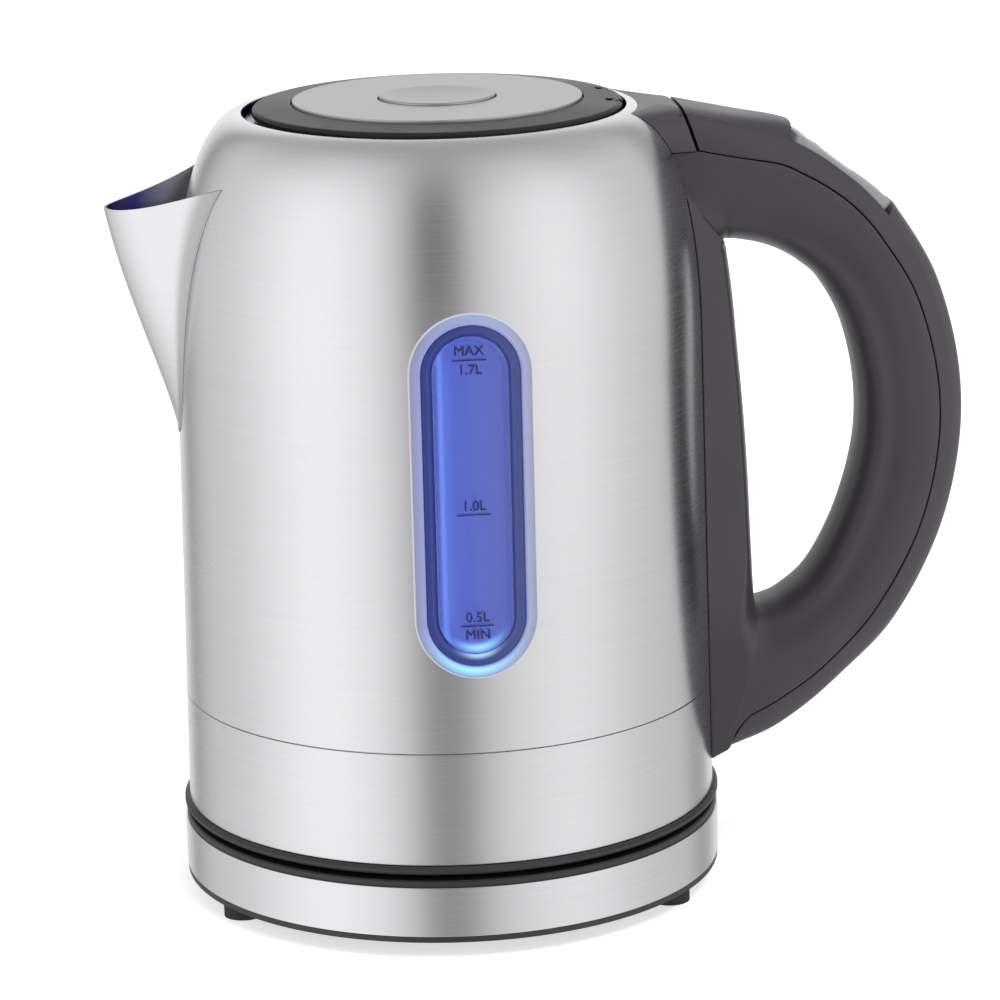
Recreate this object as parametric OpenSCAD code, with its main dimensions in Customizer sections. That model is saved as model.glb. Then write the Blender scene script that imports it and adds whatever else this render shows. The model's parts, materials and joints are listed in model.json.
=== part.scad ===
// Cordless electric kettle with a lit water window, a press-to-open lid and keys on the handle.
// Origin: on the body's axis at table level. +Z up, handle towards +X, spout towards -X,
// water window towards -Y. Millimetres.

/* [Base] */
// Outer diameter of the steel band round the base
base_d = 150; // [146:1:154]
// Height of the base band's lower edge above the table
band_lift = 6; // [5.6:0.1:8]
// Height of the base band
band_h = 13.8; // [12.8:0.2:18]
// Sheet thickness of the base band
band_wall = 0.6; // [0.4:0.1:0.8]
// Height of the black skirt that shows under the band
skirt_h = 1.6; // [1.2:0.1:2]
// Height of the black rim that shows above the band
rim_h = 1.9; // [1.6:0.1:2.4]
// Diameter of a rubber foot
foot_d = 11; // [8:0.5:14]
// Number of rubber feet
foot_count = 3; // [3:1:5]
// Diameter of the plug tower that the kettle turns on
tower_d = 30; // [28:0.5:32]
// Height of the plug tower above the base's deck
tower_h = 17; // [14:0.5:18]
// Bore of the cord gland
gland_bore_d = 6.8; // [5:0.2:8]

/* [Body] */
// Gap that shows between the base's rim and the kettle
standing_gap = 1.7; // [1.2:0.1:2.4]
// Height of the black ring under the steel body
ring_h = 2.2; // [1.8:0.1:3]
// Outer diameter of the body at its lower edge
body_bottom_d = 147.4; // [145:0.2:149]
// Outer diameter of the body where the shoulder begins
body_top_d = 144.5; // [142:0.5:146]
// Height of the straight wall, from the lower edge to the shoulder
straight_h = 125.6; // [122:0.2:135]
// Height of the rounded shoulder
shoulder_h = 66.7; // [64:0.5:70]
// Diameter of the lid opening
opening_d = 105.2; // [104:0.2:107]
// Sheet thickness of the body
wall = 0.8; // [0.6:0.1:1]
// Height of the separate lower steel band
lower_band_h = 31; // [29:0.5:34]
// Height of the vessel floor above the seam
floor_rise = 5.2; // [5:0.1:7]

/* [Window] */
// Outer width of the window's bezel
window_w = 32.8; // [30:0.2:36]
// Height of the bezel
window_h = 98; // [90:1:104]
// Height of the bezel's lower end above the body's lower edge
window_lift = 51.8; // [50:0.2:56]
// Width of the bezel's face
bezel_w = 3.2; // [2.6:0.1:4]
// Depth of the light chamber behind the wall's outer face
chamber_depth = 9.6; // [8:0.2:14]

/* [Spout] */
// Distance of the spout's tip from the axis
spout_reach = 90.6; // [86:0.2:96]
// Height of the spout's tip below the lid opening
spout_drop = 23.7; // [22:0.1:26]
// Width of the spout where it meets the shoulder
spout_w = 54; // [48:1:58]
// Height of the weld seam from its lowest point to the shoulder
spout_h = 71.3; // [66:0.5:76]
// Sheet thickness of the spout
spout_wall = 0.8; // [0.6:0.1:1]

/* [Lid] */
// Diameter of the lid's dark ring
lid_d = 100.8; // [100:0.1:101.2]
// Diameter of the bright disc in the lid
disc_d = 78.8; // [76:0.2:82]
// Diameter of the push button
button_d = 31.6; // [28:0.2:34]
// Travel of the push button
button_travel = 2.5; // [2:0.1:3]
// Largest opening angle of the lid
lid_angle = 85; // [60:5:85]

/* [Handle] */
// Furthest reach of the handle beyond the body's wall
handle_reach = 73.5; // [70:0.5:78]
// Width of the grip
grip_w = 31; // [28:0.5:34]
// Width of the strip that lies on the body
strip_w = 34; // [32:0.5:36]
// Wall thickness of the handle's shells
shell_wall = 2.2; // [1.8:0.1:2.6]
// Gap at the parting line between the grip and its cover
parting_gap = 0.3; // [0.2:0.05:0.5]

/* [Control panel] */
// Length of the control panel
panel_l = 33; // [31:0.5:35]
// Width of the control panel
panel_w = 23.6; // [22:0.2:24.6]
// Diameter of the round start key
start_d = 10.4; // [8:0.2:12]
// Width of a small key, along the panel
key_w = 4.8; // [4:0.2:5.4]
// Length of a small key, across the panel
key_l = 8.6; // [7:0.2:9]
// Travel of a key
key_travel = 0.4; // [0.3:0.05:0.5]

/* [Hidden] */
$fn = 96;
running_gap = 0.3;
fit_gap = 0.1;
touch = 0.05;
past = 1;

// Heights above the table, from the base upwards
band_bottom = band_lift;
band_top = band_bottom + band_h;
rim_top = band_top + rim_h;
ring_bottom = rim_top + standing_gap;
body_bottom = ring_bottom + ring_h;
seam_z = body_bottom + lower_band_h;
floor_z = seam_z + floor_rise;
shoulder_z = body_bottom + straight_h;
top_z = shoulder_z + shoulder_h;

base_r = base_d / 2;
body_r0 = body_bottom_d / 2;
body_r1 = body_top_d / 2;
opening_r = opening_d / 2;

// A point on the cubic curve through p[0] and p[3], pulled towards p[1] and p[2]
function bezier(p, t) =
  pow(1 - t, 3) * p[0] + 3 * t * pow(1 - t, 2) * p[1] + 3 * t * t * (1 - t) * p[2] + pow(t, 3) * p[3];
// A point on the smooth curve that passes through every point of p, t from 0 to len(p) - 1
function through(p, t) =
  let (n = len(p) - 1, i = min(floor(t), n - 1), f = t - i,
       a = p[max(i - 1, 0)], b = p[i], c = p[i + 1], d = p[min(i + 2, n)])
  0.5 * (2 * b + (c - a) * f + (2 * a - 5 * b + 4 * c - d) * f * f + (3 * b - a - 3 * c + d) * f * f * f);
function unit(v) = v / norm(v);
function side(v) = v < 0 ? -1 : 1;

// The shoulder curve leaves the wall straight up and reaches the opening almost level
shoulder_pull = 46;
shoulder_lead = 10.1;
function shoulder(t, off) =
  bezier([[body_r1 + off, shoulder_z], [body_r1 + off, shoulder_z + shoulder_pull],
          [opening_r + shoulder_lead + off / 2, top_z - 0.6 + off], [opening_r, top_z + off]], t);
shoulder_steps = 20;
// Height of the straight wall's radius at z
function straight_r(z) = body_r0 + (body_r1 - body_r0) * (z - body_bottom) / straight_h;
// Parameter of the shoulder curve at height z, by halving
function shoulder_t(z, lo = 0, hi = 1, n = 16) =
  n == 0 ? (lo + hi) / 2
         : let (mid = (lo + hi) / 2)
           shoulder(mid, 0)[1] < z ? shoulder_t(z, mid, hi, n - 1) : shoulder_t(z, lo, mid, n - 1);
// Outer radius of the body at height z
function body_r(z) = z <= shoulder_z ? straight_r(z) : shoulder(shoulder_t(z), 0)[0];
// The body's outline from z0 to the opening, moved outwards by off
function outline(z0, off) =
  concat([[straight_r(z0) + off, z0]], [for (i = [0:shoulder_steps]) shoulder(i / shoulder_steps, off)]);
function turned_round(p) = [for (i = [len(p) - 1:-1:0]) p[i]];

// A skin of the body's shape between two offsets, from height z0 to the opening
module body_skin(z0, outer, inner) {
  rotate_extrude() polygon(concat(outline(z0, outer), turned_round(outline(z0, inner))));
}

// A solid of the body's shape, moved outwards by off, from height z0 to the opening
module body_solid(z0, off) {
  rotate_extrude() polygon(concat([[0, z0]], outline(z0, off), [[0, top_z + off]]));
}

// All that lies behind the upright plane at -y, seen from the window
module behind(y) {
  translate([-window_w, -y, seam_z]) cube([2 * window_w, 2 * base_r, top_z]);
}

// A plain ring by revolving a rectangle
module ring(r_out, r_in, z0, z1) {
  rotate_extrude() translate([r_in, z0]) square([r_out - r_in, z1 - z0]);
}

// Copies round the axis, at radius r, the first at angle a0
module around(count, r, a0) {
  for (i = [0:count - 1]) rotate([0, 0, a0 + i * 360 / count]) translate([r, 0, 0]) children();
}

// A closed skin over rings of points. Each ring is a band: its first half runs along the
// outer side, its second half comes back along the inner side, and strips close both ends.
module skin(rings) {
  n = len(rings[0]);
  m = len(rings);
  h = n / 2;
  last = (m - 1) * n;
  sides = [for (i = [0:m - 2], j = [0:n - 1]) let (k = (j + 1) % n)
    each [[i * n + j, i * n + k, (i + 1) * n + k], [i * n + j, (i + 1) * n + k, (i + 1) * n + j]]];
  start = [for (j = [0:h - 2]) each [[j, n - 1 - j, n - 2 - j], [j, n - 2 - j, j + 1]]];
  end = [for (j = [0:h - 2])
    each [[last + j, last + n - 2 - j, last + n - 1 - j], [last + j, last + j + 1, last + n - 2 - j]]];
  polyhedron([for (r = rings) each r], concat(sides, start, end), convexity = 8);
}

// ---------------------------------------------------------------- Base

black = [0.13, 0.13, 0.14];
steel = [0.76, 0.76, 0.77];
dark_grey = [0.27, 0.26, 0.28];
brass = [0.72, 0.58, 0.3];
cover_bottom = band_bottom - skirt_h;
cover_floor = 2;
band_inner_r = base_r - band_wall;
screw_r = 1.5;
head_r = 3;
head_h = 1.8;
base_screw_pitch_r = 55;
base_screw_angle = 25;
boss_r = 4;
foot_angle = 85;
foot_pitch_r = base_r - 7;
foot_sink = 1;
deck_r = base_r - 13;
deck_gap = 0.2;
deck_top = ring_bottom - deck_gap;
deck_wall = 2;
tower_r = tower_d / 2;
tower_flange_r = tower_r + 2.5;
tower_flange_h = 1.5;
tower_flange_top = deck_top - deck_wall - running_gap;
tower_top = deck_top + tower_h;
seat_top = tower_flange_top - tower_flange_h - running_gap;
gland_z = (cover_bottom + cover_floor + rim_top) / 2 - 0.3;
gland_r = gland_bore_d / 2 + 1.6;
gland_l = 14;
gland_collar = 1;
gland_nose = 4.6;

module base_bottom_cover() {
  color(black) difference() {
    union() {
      translate([0, 0, cover_bottom]) cylinder(r = base_r - 0.1, h = skirt_h - touch);
      translate([0, 0, cover_bottom]) cylinder(r = band_inner_r - 1, h = cover_floor);
      ring(tower_flange_r - 0.5, tower_flange_r - 4, cover_bottom + cover_floor - past, seat_top);
      around(3, base_screw_pitch_r, base_screw_angle)
        translate([0, 0, cover_bottom]) cylinder(r = boss_r, h = cover_floor + 3);
    }
    around(foot_count, foot_pitch_r, foot_angle)
      translate([0, 0, cover_bottom - past]) cylinder(d = foot_d + 2 * touch, h = foot_sink + past);
    around(3, base_screw_pitch_r, base_screw_angle) {
      translate([0, 0, cover_bottom - past]) cylinder(r = head_r + fit_gap, h = head_h + past);
      translate([0, 0, cover_bottom - past]) cylinder(r = screw_r + fit_gap, h = 12);
    }
  }
}

module base_feet() {
  color([0.08, 0.08, 0.08]) around(foot_count, foot_pitch_r, foot_angle)
    cylinder(d = foot_d, h = cover_bottom + foot_sink - touch);
}

module base_screws() {
  color(steel) around(3, base_screw_pitch_r, base_screw_angle) {
    translate([0, 0, cover_bottom]) cylinder(r = head_r, h = head_h - touch);
    translate([0, 0, cover_bottom]) cylinder(r = screw_r, h = deck_top - deck_wall - cover_bottom - 1.5);
  }
}

module base_band() {
  color(steel) difference() {
    ring(base_r, band_inner_r, band_bottom, band_top);
    gland_hole(gland_r + fit_gap);
  }
}

module gland_hole(r) {
  translate([0, base_r - 12, gland_z]) rotate([-90, 0, 0]) cylinder(r = r, h = 14);
}

module base_top_cover() {
  shelf_top = band_top + touch;
  color(black) difference() {
    union() {
      rotate_extrude() polygon([
        [tower_r + running_gap, deck_top - deck_wall], [deck_r - deck_wall, deck_top - deck_wall],
        [deck_r - deck_wall, shelf_top], [band_inner_r - 1, shelf_top],
        [band_inner_r - 1, cover_bottom + cover_floor + touch],
        [band_inner_r - fit_gap, cover_bottom + cover_floor + touch],
        [band_inner_r - fit_gap, shelf_top], [base_r - 0.5, shelf_top],
        [base_r - 0.4, rim_top - 0.4], [base_r - 0.8, rim_top], [deck_r + 1.5, rim_top],
        [deck_r, deck_top], [tower_r + running_gap, deck_top]]);
      around(3, base_screw_pitch_r, base_screw_angle)
        translate([0, 0, cover_bottom + cover_floor + 3 + touch])
          cylinder(r = boss_r, h = deck_top - deck_wall / 2 - (cover_bottom + cover_floor + 3 + touch));
    }
    around(3, base_screw_pitch_r, base_screw_angle)
      cylinder(r = screw_r + touch, h = deck_top - deck_wall - 1);
    gland_hole(gland_r + fit_gap);
  }
}

module cord_gland() {
  color(black) translate([0, base_r + 0.4 - gland_l, gland_z]) rotate([-90, 0, 0]) difference() {
    union() {
      cylinder(r = gland_r, h = gland_l);
      cylinder(r = gland_r + gland_collar, h = gland_l - gland_nose);
    }
    translate([0, 0, -past]) cylinder(d = gland_bore_d, h = gland_l + 2 * past);
  }
}

block_y = 44;
module terminal_block() {
  color([0.85, 0.85, 0.8]) difference() {
    translate([-13, block_y - 5, cover_bottom + cover_floor + touch]) cube([26, 10, 8]);
    for (x = [-8, 0, 8]) {
      translate([x, block_y, cover_bottom + cover_floor + 3]) cylinder(r = 2, h = 8);
      translate([x, block_y - 6, cover_bottom + cover_floor + 2.4]) rotate([-90, 0, 0])
        cylinder(r = 1.2, h = 4);
    }
  }
}

module base_leads() {
  lead_end = tower_flange_r + 0.2;
  for (i = [-1:1]) color(i < 0 ? "saddlebrown" : i > 0 ? "royalblue" : "yellowgreen")
    translate([8 * i, lead_end, cover_bottom + cover_floor + 2.4])
      rotate([-90, 0, 0]) cylinder(r = 1.1, h = block_y - 2.2 - lead_end);
}

// The plug tower: a centre socket and a ring socket, open at the top
pin_bore_r = 3.4;
groove_r_in = 8.2;
groove_r_out = 11.2;
sleeve = 0.8;
socket_depth = tower_h - 1;
module plug_tower() {
  color(black) difference() {
    union() {
      translate([0, 0, tower_flange_top - tower_flange_h]) cylinder(r = tower_flange_r, h = tower_flange_h);
      translate([0, 0, tower_flange_top - tower_flange_h])
        cylinder(r = tower_r, h = tower_top - tower_flange_top + tower_flange_h - 1);
      translate([0, 0, tower_top - 1]) cylinder(r1 = tower_r, r2 = tower_r - 1, h = 1);
    }
    translate([0, 0, tower_top - socket_depth]) cylinder(r = pin_bore_r, h = tower_h);
    ring(groove_r_out, groove_r_in, tower_top - socket_depth, tower_top + past);
  }
}

module plug_contacts() {
  color(brass) {
    ring(pin_bore_r - touch, pin_bore_r - sleeve, tower_top - socket_depth + touch, tower_top - 2);
    ring(groove_r_out - touch, groove_r_out - sleeve, tower_top - socket_depth + touch, tower_top - 2);
  }
}

// ---------------------------------------------------------------- Kettle bottom

band_in_r = body_r0 - wall;
cover_z = ring_bottom + 0.1;
cover_t = 1.8;
socket_r = 24;
socket_top = cover_z + 23;
stud_pitch_r = 58;
stud_r = 3;
stud_bottom = cover_z + 9;
plate_t = 0.8;
spreader_t = 2.5;
spreader_r = 50;
element_r = 36;
element_tube_r = 3.3;
plate_bottom = floor_z - plate_t;
spreader_bottom = plate_bottom - touch - spreader_t;
element_z = spreader_bottom - touch - element_tube_r;
joggle_top = seam_z + 1.9;
ring_proud = 1.4;
ring_edge = 0.7;
ring_tongue = 1;
ring_tongue_h = 5;

module bottom_ring() {
  out = body_r0 + ring_proud;
  tongue_out = band_in_r - fit_gap;
  color(black) rotate_extrude() polygon([
    [tongue_out - ring_tongue, ring_bottom], [out - ring_edge, ring_bottom],
    [out, ring_bottom + ring_edge], [out, body_bottom - ring_edge],
    [out - ring_edge, body_bottom - touch], [tongue_out, body_bottom - touch],
    [tongue_out, body_bottom + ring_tongue_h], [tongue_out - ring_tongue, body_bottom + ring_tongue_h]]);
}

module bottom_cover() {
  color(black) difference() {
    union() {
      translate([0, 0, cover_z]) cylinder(r = band_in_r - 1.2, h = cover_t);
      around(3, stud_pitch_r, base_screw_angle)
        translate([0, 0, cover_z]) cylinder(r = stud_r + 1.5, h = stud_bottom - touch - cover_z);
    }
    translate([0, 0, cover_z - past]) cylinder(r = socket_r + fit_gap, h = cover_t + 2 * past);
    around(3, stud_pitch_r, base_screw_angle) {
      translate([0, 0, cover_z - past]) cylinder(r = head_r + fit_gap, h = past + head_h);
      translate([0, 0, cover_z - past]) cylinder(r = screw_r + fit_gap, h = 20);
    }
  }
}

module bottom_screws() {
  color(steel) around(3, stud_pitch_r, base_screw_angle) {
    translate([0, 0, cover_z + 0.2]) cylinder(r = head_r, h = head_h - 0.2 - touch);
    translate([0, 0, cover_z + 0.2]) cylinder(r = screw_r, h = stud_bottom - cover_z + 6);
  }
}

module floor_studs() {
  color(steel) around(3, stud_pitch_r, base_screw_angle) difference() {
    translate([0, 0, stud_bottom]) cylinder(r = stud_r, h = plate_bottom - touch - stud_bottom);
    translate([0, 0, stud_bottom - past]) cylinder(r = screw_r + touch, h = 9);
  }
}

module kettle_socket() {
  cavity_top = tower_top + running_gap;
  color([0.2, 0.2, 0.2]) difference() {
    union() {
      translate([0, 0, cover_z]) cylinder(r = socket_r, h = socket_top - cover_z);
      translate([0, 0, cover_z + cover_t + touch]) cylinder(r = socket_r + 5, h = 2);
    }
    translate([0, 0, cover_z - past]) cylinder(r = tower_r + 0.5, h = cavity_top - cover_z + past);
    translate([0, 0, cavity_top - past]) cylinder(r = pin_r + touch, h = 5);
    ring(blade_r_out + touch, blade_r_in - touch, cavity_top - past, cavity_top + 3);
  }
}

// The socket's centre pin and ring blade reach down into the tower
pin_r = 2;
blade_r_in = 8.7;
blade_r_out = 9.7;
module socket_contacts() {
  low = tower_top - socket_depth + 3;
  high = tower_top + running_gap + 2.5;
  color(brass) {
    translate([0, 0, low]) cylinder(r = pin_r, h = high - low);
    ring(blade_r_out, blade_r_in, low, high);
  }
}

module thermal_cutouts() {
  color([0.8, 0.78, 0.7]) for (a = [60, 240]) rotate([0, 0, a]) translate([13, 0, 0]) {
    translate([0, 0, socket_top + touch]) cylinder(r = 3, h = spreader_bottom - 2 - socket_top);
    translate([0, 0, spreader_bottom - 2 - touch]) cylinder(r = 6.5, h = 2);
  }
}

module heating_element() {
  gap_angle = 40;
  tail = 12;
  color([0.7, 0.7, 0.7]) translate([0, 0, element_z]) {
    rotate([0, 0, gap_angle / 2]) rotate_extrude(angle = 360 - gap_angle)
      translate([element_r, 0]) circle(r = element_tube_r);
    for (s = [-1, 1]) rotate([0, 0, s * gap_angle / 2]) translate([element_r, 0, -tail])
      cylinder(r = 1.6, h = tail);
  }
}

module heat_spreader() {
  color([0.8, 0.8, 0.82]) translate([0, 0, spreader_bottom]) cylinder(r = spreader_r, h = spreader_t);
}

probe_pitch_r = 60;
probe_angle = -35;
module heating_plate() {
  color(steel) difference() {
    union() {
      translate([0, 0, plate_bottom]) cylinder(r = body_r0 - wall - 0.6, h = plate_t);
      ring(body_r0 - wall - 4, body_r0 - wall - 4.7, plate_bottom - 1.6, plate_bottom + touch);
    }
    rotate([0, 0, probe_angle]) translate([probe_pitch_r, 0, plate_bottom - past]) cylinder(r = 2.6, h = 4);
  }
}

module plate_seal() {
  color([0.85, 0.85, 0.85])
    ring(body_r0 - wall - 0.8, body_r0 - wall - 3.8, joggle_top + touch, plate_bottom - touch);
}

module temperature_probe() {
  color(steel) rotate([0, 0, probe_angle]) translate([probe_pitch_r, 0, 0]) {
    translate([0, 0, plate_bottom - 8]) cylinder(r = 2.4, h = 13);
    translate([0, 0, plate_bottom - 1.4 - touch]) cylinder(r = 4, h = 1.4);
  }
}

loom_z = seam_z - 12;
loom_hole_r = 5;
module lower_band() {
  lip = 0.7;
  inner = straight_r(seam_z) - wall - fit_gap;
  color(steel) difference() {
    rotate_extrude() polygon([
      [straight_r(body_bottom), body_bottom], [straight_r(seam_z) - 0.25, seam_z - 0.5],
      [straight_r(seam_z) - 0.6, seam_z - 0.15], [inner, seam_z - 0.15],
      [inner, joggle_top], [inner - lip, joggle_top], [inner - lip, seam_z - 3],
      [straight_r(seam_z - 4) - wall, seam_z - 4], [band_in_r, body_bottom]]);
    translate([body_r0 - 8, 0, loom_z]) rotate([0, 90, 0]) cylinder(r = loom_hole_r, h = 14);
  }
}

// ---------------------------------------------------------------- Body, spout and window

window_bottom = body_bottom + window_lift;

// An upright stadium of the window's shape, inset on all sides, as a prism towards -Y
module stadium_prism(inset) {
  r = window_w / 2 - inset;
  z0 = window_bottom + window_w / 2;
  z1 = window_bottom + window_h - window_w / 2;
  rotate([90, 0, 0]) linear_extrude(height = base_r + 10) union() {
    translate([0, z0]) circle(r = r);
    translate([0, z1]) circle(r = r);
    translate([-r, z0]) square([2 * r, z1 - z0]);
  }
}

// The weld seam of the spout: half width and height, from its lowest point up to the shoulder
spout_top = top_z - 15.6;
spout_low = spout_top - spout_h;
function seam_point(t) =
  bezier([[0, spout_low], [spout_w * 0.24, spout_low + 3], [spout_w * 0.3, spout_top - 22],
          [spout_w / 2, spout_top]], t);
// The keel of the spout: distance from the axis and height, from the body up to the tip
tip_z = top_z - spout_drop;
function keel_point(t) =
  bezier([[body_r(spout_low) + 0.2, spout_low + 0.5], [spout_reach - 14.6, tip_z - 46],
          [spout_reach - 5, tip_z - 26], [spout_reach, tip_z]], t);
spout_off = 0.08;
flare = 0.2;
// A point on the spout's wall, s from -1 to 1 across and t from 0 to 1 upwards: a parabola
// from seam to keel and back, that rises to the seam with the cube of s. The wall is
// thin: its inner side has the same form, with the keel and the seam moved in by in.
function spout_point(s, t, in) =
  let (seam = seam_point(t), keel = keel_point(t), w = max(seam[0] - 1.3 * in, 0.05),
       x_seam = sqrt(pow(body_r(seam[1]) + spout_off, 2) - w * w),
       x_keel = max(keel[0] - 1.1 * in, x_seam + 0.02), a = abs(s), f = flare * t * t)
  [-(x_keel - (x_keel - x_seam) * a * a), side(s) * w * ((1 - f) * a + f * pow(a, 8)),
   keel[1] + (seam[1] - keel[1]) * pow(a, 3)];
spout_s = 12;
spout_t = 26;

module spout() {
  color(steel) skin([for (j = [1:spout_t]) let (t = 0.02 + 0.98 * j / spout_t)
    concat([for (i = [-spout_s:spout_s]) spout_point(i / spout_s, t, 0)],
           [for (i = [spout_s:-1:-spout_s]) spout_point(i / spout_s, t, spout_wall)])]);
}

// The hole through the body behind the spout, as a prism towards -X
hole_inset = 4.5;
module spout_hole(inset) {
  low = 0.3;
  high = 0.86;
  steps = 8;
  pts = [for (i = [0:steps]) let (p = seam_point(low + (high - low) * i / steps)) [p[0] - inset, p[1]]];
  rotate([90, 0, -90]) linear_extrude(height = base_r + 10)
    polygon(concat(pts, [for (i = [steps:-1:0]) [-pts[i][0], pts[i][1]]]));
}

module body_shell() {
  color(steel) difference() {
    body_skin(seam_z + touch, 0, -wall);
    stadium_prism(bezel_w - 0.5);
    spout_hole(hole_inset);
  }
}

module filter_frame() {
  color([0.2, 0.2, 0.25]) difference() {
    intersection() {
      body_skin(seam_z + 10, -wall - 0.1, -wall - 1.7);
      spout_hole(hole_inset - 2.4);
    }
    spout_hole(hole_inset + 1);
  }
}

module filter_mesh() {
  slot = 1.6;
  pitch = 2.8;
  color(steel) difference() {
    intersection() {
      body_skin(seam_z + 10, -wall - 0.6, -wall - 1);
      spout_hole(hole_inset + 1.1);
    }
    for (i = [-4:4]) translate([-base_r, i * pitch - slot / 2, spout_low + 22]) cube([40, slot, 38]);
  }
}

module window_bezel() {
  color([0.8, 0.85, 0.9]) difference() {
    union() {
      intersection() {
        body_skin(seam_z + 5, 0.9, touch);
        stadium_prism(0);
      }
      intersection() {
        body_skin(seam_z + 5, 0.1, -2.4);
        stadium_prism(bezel_w - 0.4);
      }
    }
    stadium_prism(bezel_w);
  }
}

frame_w = 3;
module gauge_frame() {
  color([0.3, 0.45, 1]) difference() {
    intersection() {
      body_skin(seam_z + 5, 0.3, -3.4);
      stadium_prism(bezel_w + fit_gap);
    }
    stadium_prism(bezel_w + frame_w);
  }
}

module gauge_window() {
  color([0.4, 0.55, 1, 0.5]) intersection() {
    body_skin(seam_z + 5, -0.4, -1.8);
    stadium_prism(bezel_w + frame_w + fit_gap);
  }
}

chamber_back = body_r1 - chamber_depth;
chamber_front = -3.6;
chamber_wall = 1;
module light_chamber() {
  color([0.15, 0.25, 0.9]) difference() {
    intersection() {
      stadium_prism(bezel_w + frame_w + fit_gap);
      body_solid(seam_z + 5, chamber_front);
    }
    behind(chamber_back);
    difference() {
      stadium_prism(bezel_w + frame_w + fit_gap + chamber_wall);
      behind(chamber_back + chamber_wall);
    }
  }
}

module gauge_seal() {
  color([0.85, 0.85, 0.85]) difference() {
    intersection() {
      body_skin(seam_z + 5, -wall - touch, -wall - 1.6);
      stadium_prism(0.8);
    }
    stadium_prism(bezel_w - 0.5);
  }
}

module light_board() {
  board_y = -chamber_back - 1.3;
  color([0.1, 0.4, 0.2]) translate([-5, board_y - 4.2, window_bottom + bezel_w + frame_w + 3.4])
    cube([10, 4, 1.2]);
  color("white") for (x = [-2.5, 2.5])
    translate([x - 1, board_y - 3.4, window_bottom + bezel_w + frame_w + 4.65]) cube([2, 2, 1]);
}

// ---------------------------------------------------------------- Neck and lid

lid_shift = 1;
lid_r = lid_d / 2;
hinge_x = opening_r - 4;
hinge_z = top_z - 0.1;
pin_radius = 0.75;
pin_play = 0.05;
ear_r = 1.5;
ear_in = 8.3;
ear_out = 11.3;
neck_top = hinge_z - 5.5;
neck_t = 1.5;
neck_in_r = 47.5;
keeper_gap = 1.9;
keeper_t = 1;
keeper_angle = 38;

module neck_ring() {
  outer_r = body_r(neck_top) - 2.2;
  color(dark_grey) difference() {
    union() {
      ring(outer_r, neck_in_r, neck_top - neck_t, neck_top);
      ring(neck_in_r + 1.5, neck_in_r, neck_top - 6, neck_top - neck_t + touch);
      for (s = [-1, 1]) translate([hinge_x, s * (ear_in + ear_out) / 2, 0]) {
        translate([0, 0, hinge_z]) rotate([90, 0, 0])
          cylinder(r = ear_r, h = ear_out - ear_in, center = true);
        translate([-ear_r, (ear_in - ear_out) / 2, neck_top - neck_t])
          cube([2 * ear_r, ear_out - ear_in, hinge_z - neck_top + neck_t]);
      }
    }
    translate([hinge_x, 0, hinge_z]) rotate([90, 0, 0])
      cylinder(r = pin_radius + pin_play, h = 2 * ear_out + 2, center = true);
  }
}

module latch_keeper() {
  keeper_in = neck_in_r + 0.1;
  keeper_out = opening_r - 0.6;
  plate_z = neck_top + keeper_gap;
  color(steel) rotate([0, 0, 180 - keeper_angle / 2]) {
    rotate_extrude(angle = keeper_angle) translate([keeper_in, plate_z])
      square([keeper_out - keeper_in, keeper_t]);
    rotate_extrude(angle = keeper_angle) translate([keeper_out - 1, neck_top + touch]) square([1, keeper_gap]);
  }
}

ring_low = top_z - 1;
ring_side_top = top_z + 0.6;
lid_top = top_z + 2.6;
disc_r = disc_d / 2;
button_r = button_d / 2;
hub_r = button_r + 0.35;
cup_r = 44.5;
cup_bottom = neck_top - 9.3;
cup_t = 1.5;
disc_t = 1.2;

module at_lid() {
  translate([lid_shift, 0, 0]) children();
}

module hinge_slots() {
  for (s = [-1, 1]) translate([hinge_x - ear_r - 1.3, s > 0 ? ear_in - 0.4 : -ear_out - 0.4, neck_top - 4])
    cube([20, ear_out - ear_in + 0.8, hinge_z + ear_r + 0.3 - neck_top + 4]);
}

module lid_ring() {
  shelf_r = disc_r - 3.4;
  color(dark_grey) difference() {
    union() {
      at_lid() rotate_extrude() polygon([
        [cup_r + touch, ring_low], [lid_r, ring_low], [lid_r, ring_side_top], [lid_r - 0.9, ring_side_top + 1],
        [disc_r + 0.35, lid_top - 0.05], [disc_r + 0.35, lid_top - disc_t - touch],
        [shelf_r, lid_top - disc_t - touch], [shelf_r, lid_top - disc_t - 1.4],
        [cup_r - 1, lid_top - disc_t - 1.4], [cup_r + touch, lid_top - disc_t - 1.8]]);
      translate([hinge_x, 0, hinge_z]) rotate([90, 0, 0])
        cylinder(r = ear_r, h = 2 * (ear_in - running_gap), center = true);
    }
    hinge_slots();
    translate([hinge_x, 0, hinge_z]) rotate([90, 0, 0])
      cylinder(r = pin_radius + 0.02, h = 60, center = true);
  }
}

module lid_disc() {
  color([0.8, 0.8, 0.81]) at_lid() difference() {
    union() {
      translate([0, 0, lid_top - disc_t]) cylinder(r = disc_r, h = disc_t);
      ring(hub_r + 1.2, hub_r, lid_top - 9.3, lid_top - disc_t + touch);
    }
    translate([0, 0, lid_top - disc_t - past]) cylinder(r = hub_r, h = disc_t + 2 * past);
    latch_slot(0);
  }
}

latch_z = neck_top + 0.35;
latch_t = 1.4;
latch_w = 12;
latch_tip = neck_in_r + 0.1 - running_gap;
latch_rear = 1.5;
latch_play = 0.3;
spring_seat_x = latch_rear + 7.5;

// The slot that the latch slides in, lengthened upwards by rise; the lid's pieces share it
module latch_slot(rise) {
  translate([-cup_r - 5, -latch_w / 2 - latch_play, latch_z - latch_play])
    cube([cup_r, latch_w + 2 * latch_play, latch_t + 2 * latch_play + rise]);
}

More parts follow.
